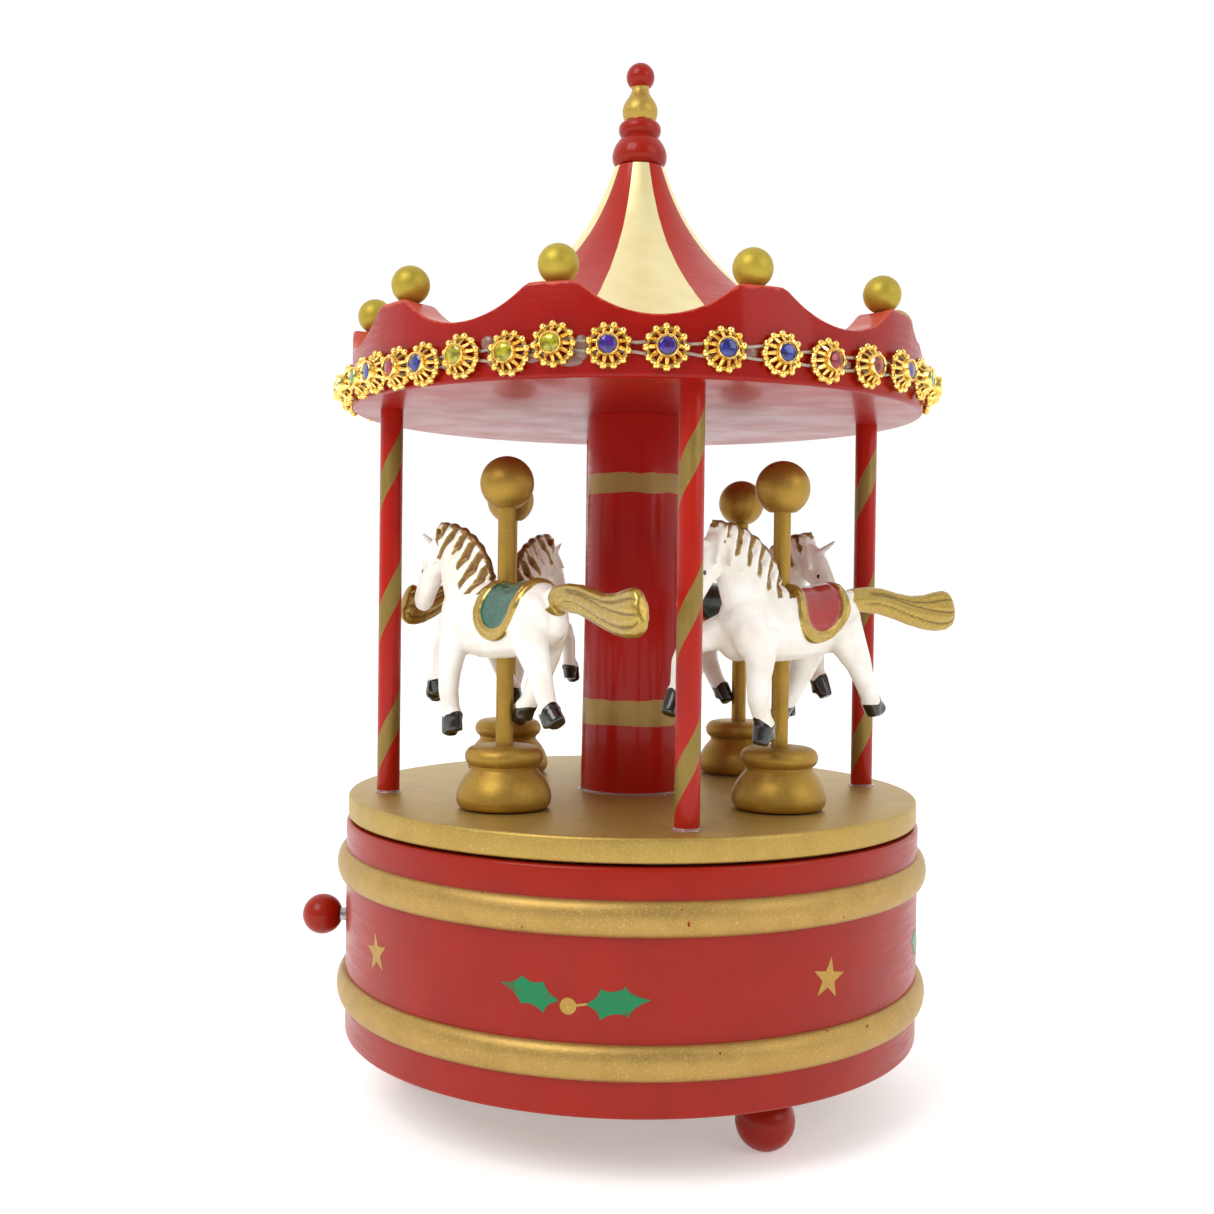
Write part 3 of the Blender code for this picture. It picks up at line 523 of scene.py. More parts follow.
# Bright gilt plating: pale yellow, nearly a mirror, slightly cloudy.
GILT = mottled_material(
    "bright_gilt_plating", 1.6, ("#FFE08A", "#E8BE58"), (0.16, 0.30),
    border=(0.35, 0.7), eased=True, bumps=(0.5, 0.03), Metallic=1.0,
)  # fmt: skip
# Brown fibreboard: matt, with short fibres along one direction.
FIBREBOARD = mottled_material(
    "brown_fibreboard", 0.7, ("#8F6B45", "#6A4A2C"), (0.65, 0.9),
    detail=4.0, stretch=(1.0, 0.25, 1.0), span=(0.2, 0.8), bumps=(0.7, 0.08),
)  # fmt: skip
# Pressed felt: matt and dark, with its nap drawn coarse enough to show.
FELT = mottled_material(
    "dark_felt", 0.25, ("#3A3A3C", "#1E1E20"), (0.85, 1.0),
    detail=4.0, span=(0.2, 0.8), bumps=(0.25, 0.1), Sheen_Weight=0.4,
)  # fmt: skip


def stone_material(name, light, dark):
    """Foil-backed acrylic stone: deep uneven colour under a sharp gloss."""
    return mottled_material(
        name, 1.0, (light, dark), (0.10, 0.24),
        detail=2.0, border=(0.35, 0.7), eased=True,
        Metallic=0.2, Coat_Weight=1.0, Coat_Roughness=0.02,
    )  # fmt: skip


def metal_material(name, light, dark, smooth, rough, size=0.8, depth=0.01):
    """Bare metal: two close tones and upright working marks, drawn coarse enough to show."""
    return mottled_material(
        name, size, (light, dark), (smooth, rough),
        detail=4.0, stretch=(1.0, 1.0, 0.3), bumps=(size, depth), Metallic=1.0,
    )  # fmt: skip


def leaf_material():
    """Translucent green holly paint, brownish where the red shows through."""
    made, tree, shader = new_material("green_holly_paint")
    thin = add_node(tree, "MapRange", (mottle(tree, 2.2, 3.0), 0.52, 0.72), **SMOOTH)
    tones = {0: thin, 6: colour("#1D7A4C"), 7: colour("#4C5A36")}
    rough = add_node(tree, "MapRange", (thin, 0.0, 1.0, 0.30, 0.40), **SMOOTH)
    feed(tree, shader, Base_Color=add_node(tree, "Mix", tones, **COLOURS))
    feed(tree, shader, Roughness=rough, Specular_IOR_Level=0.2)
    relief(tree, shader, mottle(tree, 0.6, 3.0), 0.02)
    return made


# ---------------------------------------------------------------- base drum


def make_drum():
    inner = DRUM_RADIUS - 3.5
    profile = [
        (DRUM_RADIUS, DRUM_BOTTOM), (DRUM_RADIUS, DRUM_TOP), (inner, DRUM_TOP), (inner, DRUM_BOTTOM)
    ]  # fmt: skip
    bm = bmesh.new()
    lathe(bm, softened(profile, 0.6, closed=True), LARGE_ROUND, closed=True)
    drum = piece("drum_wall", bm, "base", LACQUER, ["base_drum"])
    hole = bmesh.new()
    knob = middle("stop_rod")
    angle = math.degrees(math.atan2(knob.y, knob.x))
    turn = around(1, angle).to_track_quat("Z", "Y").to_matrix().to_4x4()
    bmesh.ops.create_cone(
        hole, segments=24, radius1=1.75, radius2=1.75, depth=12, cap_ends=True,
        matrix=Matrix.Translation(around(DRUM_RADIUS - 2, angle, knob.z)) @ turn,
    )  # fmt: skip
    drill = shown("rod_hole", mesh_of("rod_hole", hole, MM))
    cut = drum.modifiers.new("rod_hole", "BOOLEAN")
    cut.operation, cut.object, cut.solver = "DIFFERENCE", drill, "EXACT"
    made = with_modifiers(drum)
    made.set_sharp_from_angle(angle=math.radians(SHARP_EDGE))
    drum.modifiers.clear()
    drum.data = made
    bpy.data.objects.remove(drill)


def make_hoops():
    for node in ("lower_hoop", "upper_hoop"):
        radius, low, high = reach(node)
        half, mid = (high - low) / 2, (high + low) / 2
        back = DRUM_RADIUS + 0.02
        curve = arc(radius - back, half, (back, mid), -90, 90, 14)
        bm = bmesh.new()
        lathe(bm, curve, LARGE_ROUND, closed=True)
        piece(f"{node}_moulding", bm, "base", GOLD_HOOP, [node], sharp=60)


def make_feet():
    """Balls that end in a flat where they stand."""
    flat = 2.2
    nodes = numbered("foot", 3)
    bm = bmesh.new()
    for node in nodes:
        radius, bottom, top = reach(node)
        centre = bottom + radius * math.cos(math.asin(min(1.0, flat / radius)))
        first = math.degrees(math.asin((bottom - centre) / radius))
        last = math.degrees(math.asin(min(1.0, (top - centre) / radius)))
        curve = [(0, bottom), *arc(radius, radius, (0, centre), first, last, 18), (0, top)]
        lathe(bm, curve, 40, centre=middle(node)[:2])
    piece("ball_feet", bm, "base", LACQUER, nodes)


def make_knob():
    _, bottom, top = reach("stop_knob")
    place = Matrix.Translation(middle("stop_knob"))
    bm = bmesh.new()
    bmesh.ops.create_uvsphere(
        bm, u_segments=40, v_segments=24, radius=(top - bottom) / 2, matrix=place
    )
    piece("stop_knob_ball", bm, "stop", LACQUER, ["stop_knob"])


def painted_shape(name, outlines, paint, thick=0.05):
    """Outlines of (angle, height, [(right, up), ...]) painted round the drum, as thin films."""
    radius, facet = DRUM_RADIUS, 1.0
    bm = bmesh.new()
    for angle, height, outline in outlines:
        part = bmesh.new()
        verts = [part.verts.new((x, 0, z)) for x, z in outline]
        face = part.faces.new(verts)
        grown = bmesh.ops.extrude_face_region(part, geom=[face])
        raised = [made for made in grown["geom"] if isinstance(made, bmesh.types.BMVert)]
        bmesh.ops.translate(part, vec=(0, 1, 0), verts=raised)
        width = max(abs(x) for x, _ in outline)
        steps = int(width / facet)
        for step in range(-steps, steps + 1):
            geom = part.verts[:] + part.edges[:] + part.faces[:]
            bmesh.ops.bisect_plane(
                part, geom=geom, dist=1e-5, plane_co=(step * facet, 0, 0), plane_no=(1, 0, 0)
            )
        bmesh.ops.triangulate(part, faces=part.faces)
        for vert in part.verts:
            x, out, z = vert.co
            turn = angle + math.degrees(x / radius)
            vert.co = around(radius + 0.004 + thick * out, turn, height + z)
        bmesh.ops.recalc_face_normals(part, faces=part.faces)
        mesh = mesh_of("part", part)
        bm.from_mesh(mesh)
        bpy.data.meshes.remove(mesh)
    return piece(name, bm, "base", paint)


def star(size, tilt):
    """A five-point star of that height."""
    points = []
    for number in range(10):
        radius = size * (0.53 if number % 2 == 0 else 0.215)
        turn = math.radians(90 + tilt + 36 * number)
        points.append((radius * math.cos(turn), radius * math.sin(turn)))
    return points


def scooped(points, depth=0.16, steps=5):
    """An outline whose sides curve inwards between the given points, as a holly leaf's do."""
    centre = sum((Vector(p) for p in points), Vector((0, 0))) / len(points)
    made = []
    for a, b in zip(points, points[1:] + points[:1]):
        a, b = Vector(a), Vector(b)
        inward = (centre - (a + b) / 2).normalized() * (b - a).length * depth
        for step in range(steps):
            t = step / steps
            made.append(a.lerp(b, t) + inward * 4 * t * (1 - t))
    return [tuple(p) for p in made]


def make_drum_paint():
    gold = one_paint("gold_star_paint", gold_paint, depth=0.02, seed=4.0, tone="#B08A48")
    stars = [(-12.5 + 90 * n, 34.7, star(7.3, (-9, 6, -4, 8)[n])) for n in range(4)]
    painted_shape("painted_stars", stars, gold)
    left = [(-12.4, 2.8), (-8.4, 4.4), (-4.3, 3.7), (-1.5, 0.6), (-4.4, -1.7), (-8.6, -0.5)]
    right = [(2.9, 0.3), (5.5, 3.0), (9.8, 3.5), (14.3, 1.3), (10.4, -1.7), (5.5, -2.3)]
    # The last sprig stands clear of the knob's hole.
    turns = (-59.4, 30.6, 120.6, 200.0)
    holly = []
    for turn in turns:
        holly += [(turn, 32.4, scooped(left)), (turn, 32.4, scooped(right))]
    painted_shape("painted_holly_leaves", holly, leaf_material())
    berries = []
    for turn in turns:
        round_dot = [
            (1.45 * math.cos(TAU * k / 28), 1.45 * math.sin(TAU * k / 28)) for k in range(28)
        ]
        stem = [(1.3, -0.25), (3.3, 0.15), (3.3, 0.5), (1.3, 0.25)]
        berries += [(turn, 32.2, round_dot), (turn, 32.4, stem)]
    painted_shape("painted_holly_berries", berries, gold, thick=0.07)


# ---------------------------------------------------------------- turntable


def make_platform():
    bm = bmesh.new()
    edge = [
        (0, TABLE_TOP), (TABLE_RADIUS, TABLE_TOP), (TABLE_RADIUS, TABLE_BOTTOM), (0, TABLE_BOTTOM)
    ]
    lathe(bm, softened(edge, 0.7), LARGE_ROUND)
    piece("turntable_disc", bm, "carousel", GOLD_TABLE, ["turntable"])

    bottom, top = TABLE_TOP - OVERLAP, CROWN_BOTTOM + OVERLAP
    bm = bmesh.new()
    taper = 9.9 / 10.8
    side = [(0, top), (COLUMN_RADIUS * taper, top), (COLUMN_RADIUS, bottom), (0, bottom)]
    lathe(bm, softened(side, 0.3), 96)
    piece("centre_column", bm, "carousel", COLUMN_PAINT, ["column"])

    bm = bmesh.new()
    nodes = numbered("outer_pole", 4)
    for node in nodes:
        radius = reach(node)[0]
        side = [(0, top), (radius, top), (radius, bottom), (0, bottom)]
        lathe(bm, softened(side, 0.25), 28, centre=middle(node)[:2])
    piece("striped_poles", bm, "carousel", POLE_PAINT, nodes)

    bm = bmesh.new()
    rng = random.Random(4)
    spots = [(middle(node)[:2], 2.32) for node in nodes] + [((0, 0), COLUMN_RADIUS + 0.02)]
    for spot, radius in spots:
        size = 0.55 + 0.25 * rng.random()
        ring = [
            (radius, TABLE_TOP + 0.02), (radius + size, TABLE_TOP + 0.02),
            (radius + size * 0.4, TABLE_TOP + size * 0.35), (radius, TABLE_TOP + size),
        ]  # fmt: skip
        lathe(bm, softened(ring, 0.15, closed=True), 36, centre=spot, closed=True)
    piece("glue_beads", bm, "carousel", CLEAR_GLUE)


def ball_curve(node, radius, steps):
    """Half outline of a ball of that radius up to the CAD node's top and cut off at its foot."""
    _, bottom, top = reach(node)
    centre = top - radius
    first = math.degrees(math.asin(max(-1.0, (bottom - centre) / radius)))
    return [(0, bottom), *arc(radius, radius, (0, centre), first, 90, steps)]


def make_horse_stands():
    pedestals, rods, balls = bmesh.new(), bmesh.new(), bmesh.new()
    for number in range(1, 5):
        spot = middle(f"pedestal_{number}")[:2]
        _, bottom, top = reach(f"pedestal_{number}")
        curve = [(0, top), (5.6, top)]
        curve += arc(1.95, 1.95, (5.55, 71.2), 84, -62, 12)
        curve += [(6.35, 68.9), (6.75, 68.3), (7.55, 67.4), (8.35, 66.1), (8.85, 64.9), (9.1, 63.6)]
        curve += [(9.1, 62.9), (8.9, 62.2), (8.5, bottom + 0.1), (8.3, bottom), (0, bottom)]
        lathe(pedestals, curve, 64, centre=spot)
        radius, bottom, top = reach(f"horse_pole_{number}")
        bottom, top = bottom - 0.6, top + 1.0
        lathe(rods, [(0, top), (radius, top), (radius, bottom), (0, bottom)], 28, centre=spot)
        ball = f"pole_ball_{number}"
        lathe(balls, ball_curve(ball, reach(ball)[0], 26), 48, centre=spot)
    for name, bm, stem in (
        ("turned_pedestals", pedestals, "pedestal"),
        ("horse_rods", rods, "horse_pole"),
        ("rod_balls", balls, "pole_ball"),
    ):
        piece(name, bm, "carousel", GOLD_TURNED, numbered(stem, 4))


# ---------------------------------------------------------------- horses
#
# A horse is made with its rod on the axis, its head towards +X and its near side towards +Y.
# A limb is a row of (x, y, z, half height, half width) along it.

TORSO = [
    (-18.3, 0.2, 99.2, 1.6, 1.4), (-17.2, 0.1, 98.6, 4.2, 3.0), (-14.5, 0, 98.1, 6.1, 4.4),
    (-11, 0, 97.9, 6.9, 4.9), (-6, 0, 97.2, 6.9, 4.7), (0, 0, 96.9, 7.1, 4.6),
    (5, 0, 97.1, 7.5, 4.7), (9.5, 0, 97.9, 7.7, 4.7), (13.2, 0, 98.6, 6.3, 4.2),
    (15.6, 0, 99.0, 4.0, 3.0), (16.6, 0, 99.2, 1.8, 1.4),
]  # fmt: skip
NECK = [
    (8.5, 0, 99.0, 6.5, 4.0), (11.5, 0, 103.2, 6.1, 3.5), (14.0, 0, 107.2, 5.2, 3.0),
    (16.5, 0, 110.4, 4.1, 2.5), (18.2, 0, 112.8, 2.3, 1.8),
]  # fmt: skip
HEAD = [
    (17.6, 0, 113.6, 1.4, 1.3), (19.5, 0, 111.5, 2.9, 2.0), (21.8, 0, 108.5, 3.4, 2.2),
    (24.0, 0, 105.1, 2.9, 2.05), (25.6, 0, 102.4, 2.5, 1.9), (26.6, 0, 100.4, 2.3, 1.9),
    (27.1, 0, 99.0, 1.6, 1.4), (27.3, 0, 98.6, 0.8, 0.8),
]  # fmt: skip
LEGS = {
    "near_fore": [
        (10.3, 3.0, 96, 4.4, 2.6), (10.9, 3.4, 91, 3.3, 2.4), (11.6, 3.6, 86.5, 2.5, 2.1),
        (11.7, 3.7, 83.0, 2.15, 1.9), (10.6, 3.8, 79.6, 1.8, 1.7), (9.8, 3.8, 77.9, 1.9, 1.8),
    ],
    "far_fore": [
        (11.5, -2.8, 96, 4.2, 2.6), (17.5, -3.1, 95.0, 3.0, 2.2), (23.2, -3.2, 93.2, 2.1, 1.9),
        (25.0, -3.2, 90.2, 1.8, 1.7), (25.4, -3.2, 86.5, 1.6, 1.55), (25.8, -3.2, 84.2, 1.7, 1.6),
    ],
    "near_hind": [
        (-12.2, 2.8, 97, 5.2, 3.0), (-14.4, 3.3, 93, 4.1, 2.7), (-16.9, 3.7, 89, 2.9, 2.2),
        (-18.5, 3.8, 85.6, 2.2, 1.9), (-20.0, 3.9, 82.6, 1.8, 1.7), (-20.9, 4.0, 81.4, 1.9, 1.8),
    ],
    "far_hind": [
        (-11.2, -2.8, 97, 5.2, 3.0), (-9.6, -3.3, 91, 3.7, 2.6), (-7.6, -3.6, 86.4, 2.5, 2.0),
        (-5.2, -3.8, 82.8, 2.0, 1.8), (-3.6, -3.9, 80.9, 1.9, 1.8), (-3.2, -3.9, 80.4, 1.9, 1.8),
    ],
}  # fmt: skip
# Each hoof's start, at the leg's end, and its toe.
HOOVES = {
    "near_fore": ((10.0, 3.8, 78.6), (10.2, 3.8, 74.9)),
    "far_fore": ((25.8, -3.2, 84.4), (27.0, -3.2, 80.9)),
    "near_hind": ((-20.6, 3.9, 81.6), (-22.4, 4.0, 78.9)),
    "far_hind": ((-3.4, -3.9, 80.9), (-1.9, -4.0, 77.9)),
}
TAIL = [
    (-15.5, 0.2, 101.3, 1.9, 1.5), (-18.0, 0.5, 101.6, 2.4, 1.5), (-22.0, 0.9, 101.7, 2.7, 1.5),
    (-26.0, 1.4, 101.4, 2.75, 1.5), (-30.0, 1.9, 100.5, 2.8, 1.6), (-34.0, 2.5, 99.6, 3.1, 1.7),
    (-38.0, 3.1, 99.2, 3.7, 1.8), (-41.0, 3.6, 99.3, 4.2, 1.8), (-43.6, 4.0, 99.6, 4.3, 1.8),
    (-45.2, 4.3, 99.9, 3.7, 1.6), (-46.0, 4.5, 100.1, 2.2, 1.0),
]  # fmt: skip
CREST = [
    (20.0, 0, 115.9), (17.8, 0, 116.0), (15.5, 0, 115.6), (11.5, 0, 114.5), (8.0, 0, 112.6),
    (5.6, 0, 110.3), (3.8, 0, 107.8), (2.6, 0, 105.6),
]  # fmt: skip
# Shoulders and haunches: (middle, half size).
MUSCLES = [
    ((11.0, 1.9, 95.5), (5.4, 3.4, 5.6)), ((11.5, -1.9, 95.5), (5.4, 3.4, 5.6)),
    ((-12.6, 2.0, 97.0), (5.6, 3.4, 6.0)), ((-11.6, -2.0, 97.0), (5.6, 3.4, 6.0)),
]  # fmt: skip
LOCK_SPACING = 3.3
HORSE_YAW = -8.0
HORSE_OFFSET = 1.5
TURNED_HORSE = 3  # this one faces outwards, and its tail is shorter, clear of a pole
TURNED_HORSE_YAW = 15.0
TURNED_HORSE_TAIL = 0.66
OUTSIDE = -3.0  # distance given to a place that is well outside a painted area


def path_distance(points, path):
    """(distance, share along) from each point to the nearest place on a path of straight runs."""
    best, share = np.full(len(points), 1e9), np.zeros(len(points))
    runs = len(path) - 1
    for number in range(runs):
        a, b = np.array(path[number], float), np.array(path[number + 1], float)
        t = np.clip((points - a) @ (b - a) / ((b - a) @ (b - a)), 0, 1)
        away = np.linalg.norm(points - (a + t[:, None] * (b - a)), axis=1)
        closer = away < best
        best[closer] = away[closer]
        share[closer] = (number + t[closer]) / runs
    return best, share


def saddle_field(points):
    """Millimetres inside the saddle flap's outline, seen from the side."""
    drop = 100.6 - points[:, 2]
    across = np.abs(points[:, 0] + 5.4 - 0.25 * drop)
    flap = 7.2 * (1 - np.hypot(across / 7.2, np.clip(drop, 0, None) / 7.3))
    return np.where(drop > 0, flap, 7.2 - across)


def lock_phase(x, z):
    """Number of the mane's lock at a place on the neck, seen from the side."""
    return (0.858 * x + 0.515 * z) / LOCK_SPACING


def sculpt_horse(tail_share):
    """The resin horse as a fine closed mesh, with distances to its painted areas."""
    bm = bmesh.new()
    root = TAIL[0][0]
    tail_path = [(root + (x - root) * tail_share, y * tail_share, *rest) for x, y, *rest in TAIL]
    for stations in (TORSO, NECK, HEAD, tail_path, *LEGS.values()):
        sweep(bm, stations)
    for centre, size in MUSCLES:
        lump(bm, centre, size)
    for side in (1, -1):
        lump(bm, (21.2, 0.8 * side, 108.0), (2.5, 1.5, 3.0))
        spike(bm, (18.6, 1.4 * side, 112.2), (18.9, 2.2 * side, 115.4), 1.05, flat=0.8)
        lump(bm, (26.6, 1.0 * side, 100.2), (0.9, 0.8, 0.9))
    for start, toe in HOOVES.values():
        start, toe = Vector(start), Vector(toe)
        ahead = Vector((1.0, 0, -0.2))
        spike(bm, start + (start - toe) * 0.1, toe + ahead, 2.2, 1.5, flat=0.9, sides=20)
        spike(bm, start + (start - toe) * 0.2, toe + Vector((-0.8, 0, 0.5)), 1.7, 1.6, sides=20)
    fine = [
        Vector(a).lerp(Vector(b), step / 40) for a, b in zip(CREST, CREST[1:]) for step in range(40)
    ]
    for number in range(int(lock_phase(2.6, 105.6)) + 1, int(lock_phase(20.0, 115.9)) + 1):
        crest = min(fine, key=lambda p: abs(lock_phase(p.x, p.z) - number))
        for side in (1, -1):
            root = crest + Vector((0.4, 0.7 * side, -1.3))
            spike(bm, root, crest + Vector((3.6, side * 3.0, -8.0)), 0.95, 0.4, flat=0.9)
    ridge = zip(CREST, (0.8, 1.6, 2.2, 2.5, 2.6, 2.5, 2.0, 0.9))
    sweep(bm, [(x + 0.35 * r, y, z - 0.8 * r, r, 1.2) for (x, y, z), r in ridge])
    spike(bm, (15.5, 0, 113.2), (20.9, 0, 116.6), 1.9, 0.3, flat=0.6)
    spike(bm, (21.0, 0, 110.6), (27.0, 0.3, 114.2), 1.5, 0.4, flat=0.7)
    spike(bm, (20.2, 0, 112.6), (22.6, 0.5, 108.2), 1.2, 0.2, flat=1.3)
    helper = shown("horse_rough", mesh_of("horse_rough", bm, MM))
    remesh = helper.modifiers.new("skin", "REMESH")
    remesh.mode, remesh.voxel_size = "VOXEL", 0.36 * MM
    smooth = helper.modifiers.new("smooth", "SMOOTH")
    smooth.factor, smooth.iterations = 0.5, 4
    mesh = with_modifiers(helper)
    bpy.data.objects.remove(helper)

    count = len(mesh.vertices)
    points = np.empty(count * 3)
    mesh.vertices.foreach_get("co", points)
    points = points.reshape(-1, 3) / MM
    normals = np.empty(count * 3)
    mesh.vertex_normals.foreach_get("vector", normals)
    normals = normals.reshape(-1, 3)

    away, along = path_distance(points, [s[:3] for s in tail_path])
    run = along * (len(TAIL) - 1)
    spine = np.array(tail_path)
    height = points[:, 2] - np.interp(run, range(len(TAIL)), spine[:, 2])
    half = np.interp(run, range(len(TAIL)), spine[:, 3])
    across = height / half
    tail = -17.3 - points[:, 0] + 0.25 * np.cos(points[:, 2] * 2.1)
    tail = np.minimum(tail, half + 0.9 - away)
    groove = np.exp(-((across - 0.28 * np.sin(along * 5) - 0.12) ** 2) / 0.010)
    groove += np.exp(-((across + 0.42 - 0.20 * np.sin(along * 6)) ** 2) / 0.008)
    groove += np.exp(-((across - 0.62 + 0.10 * along) ** 2) / 0.008)
    groove *= np.clip((along - 0.12) / 0.1, 0, 1) * np.clip((0.97 - along) / 0.05, 0, 1)
    side_on = np.abs(normals[:, 1]) > 0.35
    groove = np.where((tail > 0.5) & side_on, groove, 0.0)

    crest_away, _ = path_distance(points, CREST)
    mane = 8.4 - crest_away
    comb = np.cos(TAU * lock_phase(points[:, 0], points[:, 2]))
    on_neck = (points[:, 2] > 102.0) & (points[:, 0] > 0.8)
    on_neck &= points[:, 0] - 18.6 < 0.5 * (points[:, 2] - 110.5)
    mane = np.where(on_neck, mane, OUTSIDE)
    strand = np.where(mane > 0, comb * np.clip(mane / 2, 0, 1), 0.0)

    saddle = saddle_field(points)
    saddle = np.where((np.abs(points[:, 1]) > 1.4) | (points[:, 2] > 102), saddle, OUTSIDE)
    rim = np.clip(saddle / 0.35, 0, 1) * 0.6
    rim += 0.28 * np.exp(-((saddle - 0.65) ** 2) / 0.12)
    rim += 0.28 * np.exp(-((saddle - 1.75) ** 2) / 0.12)
    rim -= 0.3 * np.clip((saddle - 2.35) / 0.3, 0, 1)

    hoof = np.full(count, OUTSIDE)
    for start, toe in HOOVES.values():
        start, toe = np.array(start), np.array(toe)
        line = (toe - start) / np.linalg.norm(toe - start)
        depth = (points - start) @ line
        off = points - start - depth[:, None] * line
        reach_out = np.linalg.norm(off, axis=1)
        inside = np.where(reach_out < 4.2, depth - 0.5 + 0.75 * np.abs(off[:, 0] - 0.3), OUTSIDE)
        hoof = np.maximum(hoof, np.where(depth > -1.2, inside, OUTSIDE))

    eye = np.full(count, OUTSIDE)
    for side in (1, -1):
        spot = np.array((24.2, 2.1 * side, 106.5))
        shape = (points - spot) / np.array((0.55, 1.2, 0.75))
        eye = np.maximum(eye, 0.75 - np.linalg.norm(shape, axis=1))

    moved = rim - 0.30 * groove + 0.15 * strand + 0.15 * np.clip(hoof, 0, 0.5)
    points = points + normals * moved[:, None]
    mesh.vertices.foreach_set("co", (points * MM).ravel())
    for name, values in (
        ("tail_inside", tail), ("mane_inside", mane), ("mane_strand", comb),
        ("saddle_inside", saddle), ("hoof_inside", hoof), ("eye_inside", eye),
        ("groove", groove), ("below_crest", crest_away),
    ):  # fmt: skip
        layer = mesh.attributes.new(name, "FLOAT", "POINT")
        layer.data.foreach_set("value", values.astype(np.float32))
    mesh.shade_smooth()
    return mesh


def horse_material(name, saddle_tone, saddle_deep):
    """Painted resin horse: ivory body, gilt tail, saddle rim and mane, black hooves and eyes."""
    made, tree, shader = new_material(name)
    cloud = add_node(tree, "MapRange", (mottle(tree, 6.0, 3.0), 0.35, 0.7), **SMOOTH)
    body = {0: cloud, 6: colour("#F3F0E9"), 7: colour("#E6DFD2")}
    base = add_node(tree, "Mix", body, **COLOURS)
    metal, rough, coat = 0.0, 0.32, 0.25

    def layer(mask, tone, shine, gloss, cover):
        nonlocal base, metal, rough, coat
        base = add_node(tree, "Mix", {0: mask, 6: base, 7: tone}, **COLOURS)
        metal = add_node(tree, "Mix", {0: mask, 2: metal, 3: shine})
        rough = add_node(tree, "Mix", {0: mask, 2: rough, 3: gloss})
        coat = add_node(tree, "Mix", {0: mask, 2: coat, 3: cover})

    grain = add_node(tree, "MapRange", (mottle(tree, 0.5, 3.0), 0.3, 0.75), **SMOOTH)
    gilt = add_node(tree, "Mix", {0: grain, 6: colour("#8C7028"), 7: colour("#A88A38")}, **COLOURS)
    brown = add_node(tree, "Mix", {0: grain, 6: colour("#6E4A20"), 7: colour("#8E6A30")}, **COLOURS)
    bright = add_node(
        tree, "Mix", {0: grain, 6: colour("#A08436"), 7: colour("#B89A46")}, **COLOURS
    )
    below, mane, lock, saddle, tail, groove, hoof, eye = (
        add_node(tree, "Attribute", output="Fac", attribute_name=name)
        for name in (
            "below_crest", "mane_inside", "mane_strand", "saddle_inside",
            "tail_inside", "groove", "hoof_inside", "eye_inside",
        )
    )  # fmt: skip
    strand = add_node(tree, "Math", (lock, wobble(tree, 1.6, 0.25)), operation="ADD")
    strand = add_node(tree, "Math", (below, 0.08, strand), operation="MULTIPLY_ADD")
    bare = add_node(tree, "MapRange", (mottle(tree, 6.0, 1.0), 0.56, 0.62, 0.0, 0.8), **SMOOTH)
    strand = add_node(tree, "Math", (strand, bare), operation="ADD")
    neck = add_node(tree, "MapRange", (mane, 0.3, 1.2), **SMOOTH)
    raised = add_node(tree, "MapRange", (strand, 0.38, 0.20), **SMOOTH)
    layer(add_node(tree, "Math", (raised, neck), operation="MULTIPLY"), gilt, 0.5, 0.36, 0.1)
    sunk = add_node(tree, "MapRange", (strand, -0.15, -0.45), **SMOOTH)
    layer(add_node(tree, "Math", (sunk, neck), operation="MULTIPLY"), brown, 0.4, 0.4, 0.1)
    crest = add_node(tree, "Math", (below, wobble(tree, 1.5, 0.4)), operation="ADD")
    ridge = add_node(tree, "MapRange", (crest, 1.3, 0.8), **SMOOTH)
    neck = add_node(tree, "MapRange", (mane, 0.0, 0.5), **SMOOTH)
    layer(add_node(tree, "Math", (ridge, neck), operation="MULTIPLY"), brown, 0.45, 0.4, 0.1)
    pad = {0: grain, 6: colour(saddle_deep), 7: colour(saddle_tone)}
    pad = add_node(tree, "Mix", pad, **COLOURS)
    for share, tone, shine, gloss, cover in (
        ((saddle, 0.0, 0.15), bright, 0.65, 0.28, 0.4),
        ((saddle, 2.35, 2.5), pad, 0.0, 0.25, 0.35),
        ((tail, 0.0, 0.15), bright, 0.7, 0.28, 0.4),
        # Dark brown in the tail's carved grooves: painted shade in the recesses.
        ((groove, 0.5, 0.9, 0.0, 0.8), colour("#6A5220"), 0.5, 0.4, 0.1),
        ((hoof, 0.0, 0.15), colour("#15130F"), 0.0, 0.22, 0.6),
        ((eye, 0.0, 0.12), colour("#141414"), 0.0, 0.15, 0.8),
    ):
        layer(add_node(tree, "MapRange", share, **SMOOTH), tone, shine, gloss, cover)
    feed(tree, shader, Base_Color=base, Metallic=metal, Roughness=rough, Coat_Weight=coat)
    feed(tree, shader, Coat_Roughness=0.08, Subsurface_Weight=0.0)
    relief(tree, shader, mottle(tree, 0.8, 3.0), 0.03)
    return made


